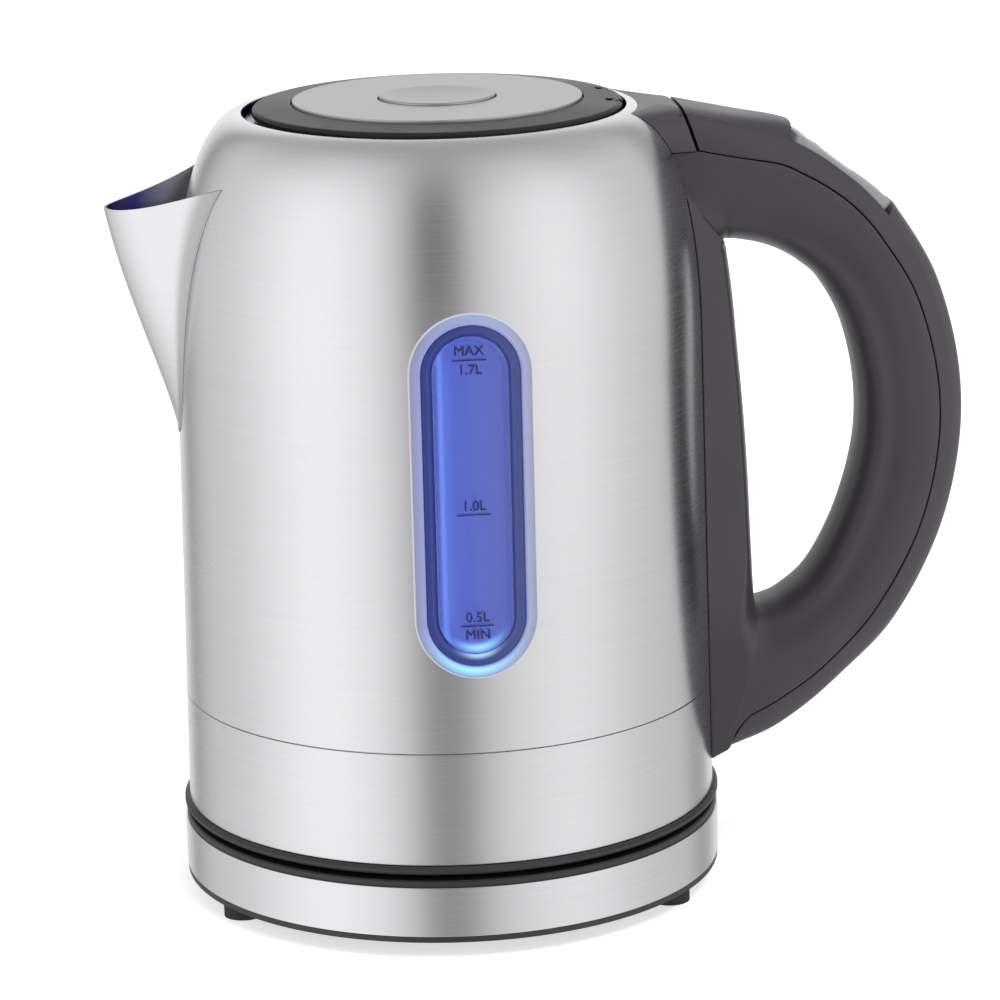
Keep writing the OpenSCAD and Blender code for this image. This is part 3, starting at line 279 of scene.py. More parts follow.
def band(rings):
    """Closed skin over rings (m, n, 3): the first half of a ring runs along the outer side,
    the second half comes back along the inner side, and strips close both ends."""
    m, n = rings.shape[:2]
    j = np.arange(n // 2 - 1)
    start = np.stack([j + 1, n - 2 - j, n - 1 - j, j], 1)
    end = start[:, ::-1] + (m - 1) * n
    return rings.reshape(-1, 3), np.concatenate([grid_faces(m, n, False, True), start, end]).tolist()


def tube(path, radius, sides=10):
    """Round bar along a path (n, 3): path + radius (cos a e1 + sin a e2), its ends closed."""
    d = np.gradient(path, axis=0)
    d /= np.linalg.norm(d, axis=1, keepdims=True)
    e1 = np.cross(d, [0.3, 0.2, 1.0])
    e1 /= np.linalg.norm(e1, axis=1, keepdims=True)
    e2 = np.cross(d, e1)
    a = (np.arange(sides) * 2 * math.pi / sides)[None, :, None]
    net = path[:, None] + radius * (np.cos(a) * e1[:, None] + np.sin(a) * e2[:, None])
    polys = grid_faces(len(path), sides, False, True).tolist()
    last = (len(path) - 1) * sides
    polys += [list(range(sides))[::-1], list(range(last, last + sides))]
    return net.reshape(-1, 3), polys


def block(lo, hi):
    """A plain box between two corners."""
    pick = [(0, 0, 0), (1, 0, 0), (1, 1, 0), (0, 1, 0), (0, 0, 1), (1, 0, 1), (1, 1, 1), (0, 1, 1)]
    points = np.array([[(lo, hi)[k][i] for i, k in enumerate(c)] for c in pick], float)
    return points, [[0, 3, 2, 1], [4, 5, 6, 7], [0, 1, 5, 4], [1, 2, 6, 5], [2, 3, 7, 6], [3, 0, 4, 7]]


def drum(centre, axis, radius, length, sides=64):
    """A cylinder from its centre point, along axis."""
    d = np.array(axis, float)
    ends = np.array(centre, float) + np.array([-0.5, 0.5])[:, None] * length * d
    return tube(ends, radius, sides)


def prism_y(loop, y0, y1):
    """The outline loop of (x, z) points drawn out from y0 to y1."""
    n = len(loop)
    points = np.concatenate([np.insert(loop, 1, y, axis=1) for y in (y0, y1)])
    polys = grid_faces(2, n, False, True).tolist()
    return points, polys + [list(range(n))[::-1], list(range(n, 2 * n))]


# ------------------------------------------------------------------ materials

def put(tree, kind, values=(), **props):
    """A new shader node with its properties and its inputs set, by name or by place."""
    n = tree.nodes.new("ShaderNode" + kind)
    for k, v in props.items():
        setattr(n, k, v)
    for k, v in dict(values).items():
        if isinstance(v, bpy.types.NodeSocket):
            tree.links.new(v, n.inputs[k])
        else:
            n.inputs[k].default_value = v
    return n


def new_group(name, **outputs):
    g = bpy.data.node_groups.new(name, "ShaderNodeTree")
    for label, kind in outputs.items():
        g.interface.new_socket(label, in_out="OUTPUT", socket_type="NodeSocket" + kind)
    return g, g.nodes.new("NodeGroupOutput")


def ramp(tree, fac, stops):
    n = put(tree, "ValToRGB", {0: fac})
    n.color_ramp.interpolation = "LINEAR"
    e = n.color_ramp.elements
    while len(e) < len(stops):
        e.new(0.5)
    for k, (at, value) in enumerate(stops):
        e[k].position = at
        e[k].color = (*value, 1) if isinstance(value, tuple) else (value, value, value, 1)
    return n.outputs[0]


def span(tree, value, a, b, lo, hi):
    n = put(tree, "MapRange", {0: value, 1: a, 2: b, 3: lo, 4: hi})
    return n.outputs[0]


def brushed_group():
    """Fine lines along u: noise stretched 60:1 along the map "along", two finenesses."""
    g, out = new_group("Brushed lines", Shade="Float", Rough="Float", Height="Float")
    uv = put(g, "UVMap", uv_map="along").outputs[0]
    scaled = [put(g, "Mapping", {0: uv, 3: s}).outputs[0] for s in ((40, 5200, 1), (9, 900, 1), (7, 9, 1))]
    fine, coarse, cloud = [put(g, "TexNoise", {"Vector": v, "Scale": 1.0, "Detail": d}, noise_dimensions="2D")
                           .outputs[0] for v, d in zip(scaled, (2.0, 3.0, 2.0))]
    both = put(g, "Math", {0: span(g, fine, 0.3, 0.7, 0, 0.6), 1: span(g, coarse, 0.3, 0.7, 0, 0.4)},
               operation="ADD").outputs[0]
    shade = put(g, "Math", {0: span(g, both, 0, 1, 0.945, 1.0), 1: span(g, cloud, 0.3, 0.7, 0.97, 1.0)},
                operation="MULTIPLY").outputs[0]
    g.links.new(shade, out.inputs["Shade"])
    g.links.new(span(g, both, 0, 1, -0.03, 0.03), out.inputs["Rough"])
    g.links.new(both, out.inputs["Height"])
    return g


def grain_group():
    """Moulded grain: fine noise for height, broad noise for small changes of finish."""
    g, out = new_group("Moulded grain", Shade="Float", Rough="Float", Height="Float")
    at = put(g, "TexCoord").outputs["Object"]
    fine = put(g, "TexNoise", {"Vector": at, "Scale": 2600.0, "Detail": 2.0}).outputs[0]
    broad = put(g, "TexNoise", {"Vector": at, "Scale": 38.0, "Detail": 3.0}).outputs[0]
    g.links.new(span(g, broad, 0.3, 0.7, 0.94, 1.06), out.inputs["Shade"])
    g.links.new(span(g, broad, 0.3, 0.7, -0.035, 0.035), out.inputs["Rough"])
    g.links.new(fine, out.inputs["Height"])
    return g


def new_material(name, base, rough, metal=0.0, group=None, bump=0.0, **more):
    """Principled material; a group adds its shade to the colour, its rough to the
    roughness and its height to a bump of the given distance in metres."""
    m = bpy.data.materials.new(name)
    m.use_nodes = True
    t = m.node_tree
    p = t.nodes["Principled BSDF"]
    p.inputs["Base Color"].default_value = (*base, 1)
    p.inputs["Roughness"].default_value = rough
    p.inputs["Metallic"].default_value = metal
    for k, v in more.items():
        p.inputs[k.replace("_", " ")].default_value = v
    m.diffuse_color = (*base, 1)
    if group:
        g = put(t, "Group", node_tree=group)
        tone = put(t, "Mix", {"Factor": 1.0, 6: (*base, 1), 7: g.outputs["Shade"]}, data_type="RGBA",
                   blend_type="MULTIPLY")
        t.links.new(tone.outputs[2], p.inputs["Base Color"])
        add = put(t, "Math", {0: g.outputs["Rough"], 1: rough}, operation="ADD", use_clamp=True)
        t.links.new(add.outputs[0], p.inputs["Roughness"])
        if bump:
            b = put(t, "Bump", {"Height": g.outputs["Height"], "Strength": 1.0, "Distance": bump})
            t.links.new(b.outputs[0], p.inputs["Normal"])
    return m


def brushed(name, base, rough, aniso):
    """Metal brushed along u: reflections stay sharp round the body and spread upwards."""
    m = new_material(name, base, rough, 1.0, lines, Anisotropic=aniso, Anisotropic_Rotation=0.25)
    t = m.node_tree
    tangent = put(t, "Tangent", direction_type="UV_MAP", uv_map="along")
    t.links.new(tangent.outputs[0], t.nodes["Principled BSDF"].inputs["Tangent"])
    return m


lines = brushed_group()
grain = grain_group()
finishes = {
    "brushed_steel": brushed("Brushed steel", (0.80, 0.80, 0.815), 0.27, 0.7),
    "spout_steel": brushed("Satin steel spout", (0.85, 0.85, 0.865), 0.36, 0.4),
    "plain_steel": new_material("Plain steel", (0.62, 0.62, 0.63), 0.30, 1.0),
    "black_plastic": new_material("Black plastic", (0.022, 0.021, 0.024), 0.42, group=grain, bump=4e-6),
    "handle_plastic": new_material("Handle plastic", (0.041, 0.036, 0.043), 0.34, group=grain, bump=4e-6),
    "lid_plastic": new_material("Lid plastic", (0.018, 0.017, 0.019), 0.36, 0.0, group=grain, bump=3e-6,
                                Specular_IOR_Level=0.18),
    "rubber": new_material("Rubber", (0.016, 0.016, 0.017), 0.75, group=grain, bump=8e-6),
    "brass": new_material("Brass", (0.72, 0.53, 0.22), 0.32, 1.0),
    "aluminium": new_material("Aluminium", (0.74, 0.74, 0.75), 0.4, 1.0),
    "silicone": new_material("Silicone", (0.3, 0.3, 0.31), 0.55, group=grain),
    "cream_plastic": new_material("Cream plastic", (0.72, 0.68, 0.56), 0.5, group=grain),
    "wire": new_material("Wire cover", (0.30, 0.02, 0.02), 0.45),
    "circuit_board": new_material("Circuit board", (0.02, 0.16, 0.06), 0.4),
    "panel_silver": new_material("Panel silver", (0.33, 0.33, 0.34), 0.42, 0.35, group=grain),
    "key_silver": new_material("Key silver", (0.42, 0.42, 0.43), 0.40, 0.35, group=grain),
    "button_silver": new_material("Button silver", (0.44, 0.44, 0.45), 0.36, 0.85, group=grain),
    "disc_steel": new_material("Lid disc", (0.53, 0.53, 0.54), 0.42, 0.8, group=grain),
    "window_clear": new_material("Window clear", (0.75, 0.82, 1.0), 0.03, Transmission_Weight=1.0, IOR=1.45),
    "bezel_clear": new_material("Bezel clear", (0.20, 0.21, 0.32), 0.20, Coat_Weight=0.6, Coat_Roughness=0.05),
    "window_blue": new_material("Lit blue", (0.012, 0.018, 0.10), 0.30),
}


def glow_from(material, attribute, strength):
    """Emission of a material taken from a colour stored on the mesh's points."""
    t = material.node_tree
    a = put(t, "Attribute", attribute_name=attribute)
    p = t.nodes["Principled BSDF"]
    t.links.new(a.outputs["Color"], p.inputs["Emission Color"])
    p.inputs["Emission Strength"].default_value = strength


# Painted light: the window's blue parts and its clear rim glow with stored colours that paint their light and
# shade; none of them is a lamp
glow_from(finishes["window_blue"], "glow", 1.0)
glow_from(finishes["bezel_clear"], "glow", 1.0)


def toned(material, attribute):
    """Base colour multiplied by a colour stored on the mesh's points."""
    t = material.node_tree
    socket = t.nodes["Principled BSDF"].inputs["Base Color"]
    tone = put(t, "Attribute", attribute_name=attribute).outputs["Color"]
    mix = put(t, "Mix", {"Factor": 1.0, 6: socket.links[0].from_socket, 7: tone}, data_type="RGBA",
              blend_type="MULTIPLY")
    t.links.new(mix.outputs[2], socket)


# The spout's stored tone colour paints shade beside the weld, shade and a blue reflection inside, and gives the
# weld bead its darker tone
toned(finishes["spout_steel"], "tone")
marks_ink = new_material("Mark ink", (0.012, 0.016, 0.07), 0.5)
line_ink = new_material("Legend ink", (0.62, 0.62, 0.63), 0.5)

for name, node_object in frame["nodes"].items():
    for part in frame["record"]["subparts"]:
        if part["node"] == name:
            node_object.data.materials.clear()
            node_object.data.materials.append(finishes[part["material_slot"]])


# ------------------------------------------------------------------ body and lower band

def stadium(inset, n=56):
    """Loop (x, z) round the window: two half circles of radius W/2 - inset and the sides
    between them, from the lowest point towards +X and back, 4 n + 2 points."""
    r = WINDOW_W / 2 - inset
    z0, z1 = WINDOW_BOTTOM + WINDOW_W / 2, WINDOW_BOTTOM + WINDOW_H - WINDOW_W / 2
    low_arc = np.linspace(-math.pi / 2, 0, n // 2 + 1)
    top_arc = np.linspace(0, math.pi, n + 1)
    end_arc = np.linspace(math.pi, 1.5 * math.pi, n // 2 + 1)[:-1]
    rise = np.linspace(z0, z1, n)[1:-1]
    return np.concatenate([
        np.stack([r * np.cos(low_arc), z0 + r * np.sin(low_arc)], 1),
        np.stack([r + 0 * rise, rise], 1),
        np.stack([r * np.cos(top_arc), z1 + r * np.sin(top_arc)], 1),
        np.stack([-r + 0 * rise, rise[::-1]], 1),
        np.stack([r * np.cos(end_arc), z0 + r * np.sin(end_arc)], 1)])


def on_body(loop, off):
    """Points (x, z) laid on the body's front, off outwards: y = -sqrt((R(z) + off)^2 - x^2)."""
    y = -np.sqrt((body_r(loop[:, 1]) + off) ** 2 - loop[:, 0] ** 2)
    return np.stack([loop[:, 0], y, loop[:, 1]], 1)


def round_window(profile):
    """A ring round the window: each row of profile is (inset, height over the body)."""
    loops = [on_body(stadium(inset), off) for inset, off in profile]
    n = len(loops[0])
    return np.concatenate(loops), grid_faces(len(loops), n, True, True).tolist()


def seam_point(t):
    return bezier([[0, SPOUT_LOW], [27 * 0.48, SPOUT_LOW + 3], [54 * 0.3, SPOUT_TOP - 22], [27, SPOUT_TOP]], t)


def keel_point(t):
    return bezier([[float(body_r(SPOUT_LOW)) + 0.2, SPOUT_LOW + 0.5], [REACH - 14.6, TIP_Z - 46],
                   [REACH - 5, TIP_Z - 26], [REACH, TIP_Z]], t)


SPOUT_TOP = TOP_Z - 15.6
SPOUT_LOW = SPOUT_TOP - 71.3
TIP_Z = TOP_Z - 23.7
REACH = 90.6


def spout_points(s, t, inward, off=0.08):
    """The spout's wall: at the height t the wall runs as a parabola in s from the seam to
    the keel and back, x = -(k - (k - x_seam) s^2), and rises to the seam with |s|^3."""
    seam, keel = seam_point(t), keel_point(t)
    w = np.maximum(seam[..., 0] - 1.3 * inward, 0.05)
    x_seam = np.sqrt((body_r(seam[..., 1]) + off) ** 2 - w ** 2)
    x_keel = np.maximum(keel[..., 0] - 1.1 * inward, x_seam + 0.02)
    a, f = np.abs(s), 0.2 * t * t
    x = -(x_keel - (x_keel - x_seam) * a * a)
    y = np.sign(s) * w * ((1 - f) * a + f * a ** 8)
    z = keel[..., 1] + (seam[..., 1] - keel[..., 1]) * a ** 3
    return np.stack([x, y, z], -1)


shoulder_out = shoulder(np.linspace(0, 1, 72))
shoulder_in = shoulder(np.linspace(0, 1, 72), -WALL)[::-1]
wall_z = np.linspace(SEAM_Z + 0.05, SHOULDER_Z, 14)[:-1]
lip = np.array([[OPENING_R - 0.18, TOP_Z - 0.1], [OPENING_R - 0.25, TOP_Z - 0.4],
                [OPENING_R - 0.18, TOP_Z - 0.7]])
edge = np.array([[straight_r(SEAM_Z) - 0.45, SEAM_Z + 0.05], [straight_r(SEAM_Z) - 0.15, SEAM_Z + 0.1],
                 [straight_r(SEAM_Z), SEAM_Z + 0.3], [straight_r(SEAM_Z), SEAM_Z + 0.6]])
outer_wall = np.stack([straight_r(wall_z[1:]), wall_z[1:]], 1)
inner_wall = np.stack([straight_r(wall_z) - WALL, wall_z], 1)[::-1]
body_profile = np.concatenate([edge, outer_wall, shoulder_out, lip, shoulder_in, inner_wall])
hole_t = np.linspace(0.3, 0.86, 12)
hole = seam_point(hole_t) - [4.5, 0]
spout_hole_loop = np.concatenate([hole, (hole * [-1, 1])[::-1]])
hole_prism = prism_y(spout_hole_loop, 20, 95)
turned = np.stack([-hole_prism[0][:, 1], hole_prism[0][:, 0], hole_prism[0][:, 2]], 1)
add_piece("kettle_wall", [lathe(body_profile, 256)], "kettle", "brushed_steel", ["body_shell"],
          cuts=[prism_y(stadium(BEZEL_W - 0.5), -90, -40), (turned, hole_prism[1])], uv=uv_round)

join_r = straight_r(SEAM_Z)
band_profile = rounded([
    [BODY_R0, BODY_BOTTOM, 0.25], [join_r, SEAM_Z - 0.12, 0.32], [join_r - WALL - 0.1, SEAM_Z - 0.12, 0],
    [join_r - WALL - 0.1, high("lower_band")[2], 0.2], [join_r - WALL - 0.8, high("lower_band")[2], 0.2],
    [join_r - WALL - 0.8, SEAM_Z - 3, 0], [straight_r(SEAM_Z - 4) - WALL, SEAM_Z - 4, 0],
    [BODY_R0 - WALL, BODY_BOTTOM, 0.25]])
add_piece("kettle_lower_wall", [lathe(band_profile, 256)], "kettle", "brushed_steel", ["lower_band"],
          cuts=[drum([BODY_R0 - 1, 0, SEAM_Z - 12], [1, 0, 0], 5, 14)], uv=uv_round)

# ------------------------------------------------------------------ spout and its weld

def set_glow(obj, colours, name="glow"):
    layer = obj.data.color_attributes.new(name, "FLOAT_COLOR", "POINT")
    layer.data.foreach_set("color", np.insert(colours, 3, 1.0, 1).astype(np.float32).ravel())


across, up = np.linspace(-1, 1, 97), 0.02 + 0.98 * np.linspace(0, 1, 90)
s_net, t_net = np.meshgrid(across, up)
skin_out, skin_in = spout_points(s_net, t_net, 0), spout_points(s_net, t_net, WALL)[:, ::-1]
rings = np.concatenate([skin_out, skin_in], 1)
weld_t = np.concatenate([1 - 0.98 * np.linspace(0, 1, 80), 0.02 + 0.98 * np.linspace(0, 1, 80)[1:]])
weld_side = np.where(np.arange(159) < 80, -1.0, 1.0)
weld_path = spout_points(weld_side, weld_t, 0, 0.05)


def uv_spout(points):
    """u = across the spout, v = up it, so that its brushing runs across."""
    return np.stack([points[:, 1], points[:, 2]], 1)


spout_piece = add_piece("spout_skin", [band(rings), tube(weld_path, 0.38, 8)], "kettle", "spout_steel",
                        ["spout"], uv=uv_spout)
# Painted shade: the spout's outer skin is darkened by up to 40 % beside the weld, where it turns into the body
weld_crease_shade = np.clip((np.abs(s_net) - 0.84) / 0.10, 0, 1)[..., None]
weld_crease_shade = weld_crease_shade * weld_crease_shade * (3 - 2 * weld_crease_shade)
outside = 1 - 0.40 * weld_crease_shade * np.ones(3)
# Painted shade and painted reflection inside the spout: dark navy blue in its middle for the lit window's blue
# reflection, lighter grey towards the seam
deep = np.clip((np.abs(s_net) - 0.55) / 0.35, 0, 1)[:, ::-1, None]
inner_shade_and_blue_reflection = np.array([0.07, 0.07, 0.30]) * (1 - deep) + 0.55 * deep
# The spout's tone colours: painted light on its skin and inside, then the weld bead's own darker tone
spout_painted_light = np.concatenate([outside, inner_shade_and_blue_reflection], 1).reshape(-1, 3)
weld_tone = np.full((len(spout_piece.data.vertices) - len(spout_painted_light), 3), 0.62)
set_glow(spout_piece, np.concatenate([spout_painted_light, weld_tone]), "tone")

# ------------------------------------------------------------------ window

SINK = 0.05
bezel_profile = rounded([[0.0, SINK, 0], [0.0, 0.85, 0.5], [BEZEL_W, 0.85, 0.6], [BEZEL_W, -2.4, 0],
                         [BEZEL_W - 0.4, -2.4, 0], [BEZEL_W - 0.4, SINK, 0]], 6, 0.15)
bezel_piece = add_piece("window_rim", [round_window(bezel_profile)], "kettle", "bezel_clear",
                        ["window_bezel"])
inner = BEZEL_W + 0.1
frame_profile = rounded([[inner, 0.25, 0.35], [inner + 1.5, 0.25, 0.5], [inner + FRAME_W, -1.2, 0.9],
                         [inner + FRAME_W, -3.4, 0], [inner, -3.4, 0]], 6, 0.15)
frame_piece = add_piece("window_frame", [round_window(frame_profile)], "kettle", "window_blue",
                        ["gauge_frame"])


def mirrored_cap(n, base, flip):
    """Strips that join the points k and n - k of a loop, from its lowest point up."""
    strips = [[0, 1, n - 1]] + [[k, k + 1, n - k - 1, n - k] for k in range(1, n // 2 - 1)]
    strips.append([n // 2 - 1, n // 2, n - n // 2 + 1])
    return [[base + k for k in (f[::-1] if flip else f)] for f in strips]


def plate_on_window(profile):
    """A closed plate in the window: rows (inset, off) from the front's middle round its
    edge to the back's middle; both middles are closed by strips across."""
    loops = [on_body(stadium(inset), off) for inset, off in profile]
    n = len(loops[0])
    polys = grid_faces(len(loops), n, False, True).tolist()
    polys += mirrored_cap(n, 0, False) + mirrored_cap(n, (len(loops) - 1) * n, True)
    return np.concatenate(loops), polys


pane_in = BEZEL_W + FRAME_W + 0.15
mid = WINDOW_W / 2 - 0.3
pane_rows = [[i, -0.45] for i in (mid, mid - 3, mid - 6, pane_in + 1, pane_in + 0.4)]
pane_rows += [[pane_in + 0.1, -0.55], [pane_in, -0.8], [pane_in, -1.6], [pane_in + 0.1, -1.75]]
pane_rows += [[i, -1.8] for i in (pane_in + 0.4, pane_in + 1, mid - 6, mid - 3, mid)]
add_piece("water_window", [plate_on_window(pane_rows)], "kettle", "window_clear", ["gauge_window"])

# The lit well behind the pane: a tub with a round inner wall; its light, shade and highlights are painted into
# its glow colours
well_in = pane_in + 0.05
turn = np.linspace(0, 1, 12)
well_rows = [[mid, -4.5], [mid - 4, -4.5]]
well_rows += [[well_in + 3.2 - 2.2 * math.sin(a * math.pi / 2), -3.0 - 1.5 * math.cos(a * math.pi / 2)]
              for a in turn]
well_rows += [[well_in + 0.9, -2.7], [well_in + 0.8, -2.6], [well_in, -2.6], [well_in, -2.8], [well_in, -9.0],
              [well_in + 0.3, -9.3], [mid - 4, -9.3], [mid, -9.3]]
well_piece = add_piece("lit_well", [plate_on_window(well_rows)], "kettle", "window_blue", ["light_chamber"])


def screen_colour(*levels):
    """Linear colour of a screen colour given as 0 to 255."""
    seen = np.array(levels) / 255
    return ((seen + 0.055) / 1.055) ** 2.4


def bump_at(x, centre, width):
    """Smooth bump exp(-((x - centre) / width)^2)."""
    return np.exp(-((x - centre) / width) ** 2)


def blend(a, b, share):
    """Colours a towards b by a share per point."""
    return a + (b - a) * share[:, None]


def points_of(obj):
    co = np.zeros(len(obj.data.vertices) * 3)
    obj.data.vertices.foreach_get("co", co)
    return co.reshape(-1, 3) / MM


def near_bottom(p):
    """Angle round the lower end, 0 at its lowest point, and the distance from its middle."""
    x, z = p[:, 0], p[:, 2] - (WINDOW_BOTTOM + WINDOW_W / 2)
    return np.degrees(np.arctan2(x, -z)), np.hypot(x, z)


# Painted light of the window: these colours paint lit and shaded sides, highlights and dark edges into the glow
# of the well, the frame and the rim
LIT, SHADED, STREAK_HIGHLIGHT = screen_colour(70, 90, 205), screen_colour(68, 84, 174), screen_colour(112, 152, 250)
WELL_EDGE_SHADE = screen_colour(28, 44, 120)
FRAME_SHADED_LEFT, FRAME_LIT_RIGHT = screen_colour(40, 53, 130), screen_colour(65, 76, 135)
RIM_EDGE_HIGHLIGHT, RIM_LINE_SHADE = screen_colour(208, 209, 203), screen_colour(25, 26, 45)
RIM_FOOT_SHADE = screen_colour(65, 75, 138)
RIM_LILAC, RIM_SUNNY = screen_colour(126, 134, 202), screen_colour(148, 153, 188)

# Well: painted glow, lit on the left and shaded on the right, with a painted highlight streak, painted shade at
# its side edges and a painted reflection crescent near the bottom
p = points_of(well_piece)
angle, dist = near_bottom(p)
x = p[:, 0]
glow = blend(LIT, SHADED, np.clip(0.5 + x / 14, 0, 1))
glow = blend(glow, STREAK_HIGHLIGHT, bump_at(x, -7.8, 0.9))
glow = blend(glow, WELL_EDGE_SHADE, np.clip((np.abs(x) - 8.4) / 1.2, 0, 1) * np.where(x < 0, 1, 0.3))
crescent_highlight = bump_at(angle, 6, 34) * bump_at(dist, 9.0, 0.8) * (p[:, 2] < WINDOW_BOTTOM + 16)
set_glow(well_piece, glow * 0.82 + crescent_highlight[:, None] * np.array([0.35, 0.85, 1.1]))
# Frame: painted glow, shaded on the left and lighter on the right, with a painted glint near the bottom
p = points_of(frame_piece)
angle, dist = near_bottom(p)
glow = blend(FRAME_SHADED_LEFT, FRAME_LIT_RIGHT, np.clip(0.5 + p[:, 0] / 24, 0, 1))
glint = bump_at(angle, 4, 26) * bump_at(dist, 10.6, 0.5) * (p[:, 2] < WINDOW_BOTTOM + 16)
set_glow(frame_piece, glow * 0.55 + glint[:, None] * np.array([0.5, 0.8, 0.9]))
# Rim: painted glow, lilac on the left and lighter on the right, a painted highlight on its outer edge with a band
# of painted shade inside it, painted shade towards its foot, a painted highlight crescent near the bottom and
# painted blue light near the top
p = points_of(bezel_piece)
angle, dist = near_bottom(p)
inset = np.repeat(bezel_profile[:, 0], len(p) // len(bezel_profile))
glow = blend(RIM_SUNNY, RIM_LILAC, np.clip(0.5 - p[:, 0] / 26, 0, 1))
glow = blend(glow, RIM_LINE_SHADE, 1 - np.clip((inset - 0.45) / 0.55, 0, 1))
glow = blend(glow, RIM_FOOT_SHADE, np.clip((inset - 1.5) / (BEZEL_W - 1.5), 0, 1) ** 2)
glow = blend(glow, RIM_EDGE_HIGHLIGHT, np.clip((0.45 - inset) / 0.2, 0, 1))
crescent_highlight = bump_at(angle, -8, 42) * bump_at(inset, 2.0, 1.0) * (p[:, 2] < WINDOW_BOTTOM + 14)
top = bump_at(p[:, 2], WINDOW_BOTTOM + WINDOW_H, 5) * bump_at(inset, 1.2, 0.7)
set_glow(bezel_piece, glow * 0.55 + crescent_highlight[:, None] * np.array([0.12, 0.85, 1.3])
         + top[:, None] * np.array([0.05, 0.22, 0.42]))


LETTER_SIZE = 1.38


def lettering(text, height, deep, bold, smooth, align, place):
    """Mesh of a text whose figures are height tall: its outline, deep to each side, laid
    on its piece by place(points)."""
    curve = bpy.data.curves.new("letters", "FONT")
    curve.body, curve.size, curve.extrude, curve.offset = text, height * MM * LETTER_SIZE, deep * MM, bold * MM
    curve.align_x, curve.align_y, curve.resolution_u = "CENTER", align, smooth
    made = bpy.data.objects.new("letters", curve)
    bpy.context.scene.collection.objects.link(made)
    mesh = bpy.data.meshes.new_from_object(made.evaluated_get(bpy.context.evaluated_depsgraph_get()))
    bpy.data.objects.remove(made)
    co = np.zeros(len(mesh.vertices) * 3)
    mesh.vertices.foreach_get("co", co)
    mesh.vertices.foreach_set("co", (place(co.reshape(-1, 3) / MM) * MM).ravel())
    mesh.update()
    return mesh


def mark(text, x, z, off=-0.36):
    """Raised lettering on the pane, laid on the body's curve. A letter M keeps its outline
    as it is, and the others are made bolder."""
    def on_pane(co):
        px, pz = x + co[:, 0], z + co[:, 1]
        return np.stack([px, -np.sqrt((body_r(pz) + off + co[:, 2]) ** 2 - px ** 2), pz], 1)

    return lettering(text, MARK_HEIGHT, 0.04, 0 if "M" in text else 0.05, 4, "TOP_BASELINE", on_pane)


def join_marks(name, parts, body, ink):
    """One piece from several small meshes."""
    verts, polys, base = [], [], 0
    for m in parts:
        co = np.zeros(len(m.vertices) * 3)
        m.vertices.foreach_get("co", co)
        verts.append(co.reshape(-1, 3))
        polys += [[base + k for k in f.vertices] for f in m.polygons]
        base += len(m.vertices)
    mesh = bpy.data.meshes.new(name)
    mesh.from_pydata(np.concatenate(verts).tolist(), [], polys)
    mesh.update()
    mesh.materials.append(ink)
    obj = bpy.data.objects.new(name, mesh)
    bpy.context.scene.collection.objects.link(obj)
    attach(obj, body)
    return obj


def bar_on_pane(x0, x1, z, thick):
    loop = np.array([[x0, z - thick / 2], [x1, z - thick / 2], [x1, z + thick / 2], [x0, z + thick / 2]])
    points = np.concatenate([on_body(loop, -0.32), on_body(loop, -0.4)])
    faces = [[0, 1, 2, 3], [7, 6, 5, 4], [0, 4, 5, 1], [1, 5, 6, 2], [2, 6, 7, 3], [3, 7, 4, 0]]
    return make_mesh("bar", [(points, faces)])


MARK_HEIGHT = 2.7
scale_marks = [
    mark("MAX", -0.48, 164.2), mark("MAX", -0.32, 164.2, -0.37),
    bar_on_pane(-4.9, 4.2, 162.9, 0.42), mark("1.7L", -0.2, 159.2),
    mark("1.0L", 0.0, 122.8), bar_on_pane(-4.6, 4.3, 121.6, 0.42),
    mark("0.5L", 0.2, 92.6), bar_on_pane(-4.4, 4.4, 91.5, 0.42), mark("MIN", 0.12, 87.9),
    mark("MIN", 0.28, 87.9, -0.37)]
join_marks("level_marks", scale_marks, "kettle", marks_ink)

# ------------------------------------------------------------------ handle

BULGE = 2.6
GRIP_W, PARTING_GAP = 31.0, 0.3
INNER_EDGE = [[79, 178.3], [80.2, 178.2], [82.5, 178], [88.5, 176.7], [94.5, 174.3], [100.4, 170.5],
              [106, 165], [112.4, 153], [116.2, 136], [116, 118.5], [110.9, 99.5], [103, 84], [95, 76.8],
              [89.5, 74.5], [87.2, 74.4], [86.4, 74.8]]
OUTER_EDGE = [[66.8, 216.5], [82, 213.4], [96.5, 210.6], [105, 206.2], [112.5, 200.9], [120, 194.2],
              [128, 184.3], [138.6, 165.8], [145, 141], [145.2, 117], [139, 91.3], [125.6, 66.6],
              [108.2, 50.2], [92.6, 39.9], [80.6, 35.1], [71.9, 32.1]]
PARTING = [[11.7, 1.05], [10.5, 1.04], [10.8, 1.03], [10.4, 1.02], [9.8, 1], [9.3, 1], [9, 1], [8.6, 1],
           [8.4, 1], [8.4, 1], [8.6, 1], [9, 1.01], [8.4, 1.04], [9.2, 1.07], [9.2, 1.09], [9, 1.09]]
COVER_END, COVER_TURN = 14.36, 13.86
PANEL_W = 23.6
PANEL_TILT = math.radians(37.4)
PANEL_CENTRE = np.array([111.65, 0, 197.7])
PANEL_NORMAL = np.array([math.sin(PANEL_TILT), 0, math.cos(PANEL_TILT)])
PANEL_DOWN = np.array([math.cos(PANEL_TILT), 0, -math.sin(PANEL_TILT)])
POCKET_FROM, POCKET_TO, FLAT_TO, POCKET_DEPTH = 2.12, 5.79, 7.0, 5.0
POCKET_HALF = PANEL_W / 2 + 0.45
EDGE = 0.3


def power_curve(c, half, n):
    """One coordinate of the grip's section: sign(c) half |c|^(2/n) with c = cos q or sin q."""
    return np.sign(c) * half * np.abs(c) ** (2 / n)


def ease(x):
    x = np.clip(x, 0, 1)
    return x * x * (3 - 2 * x)


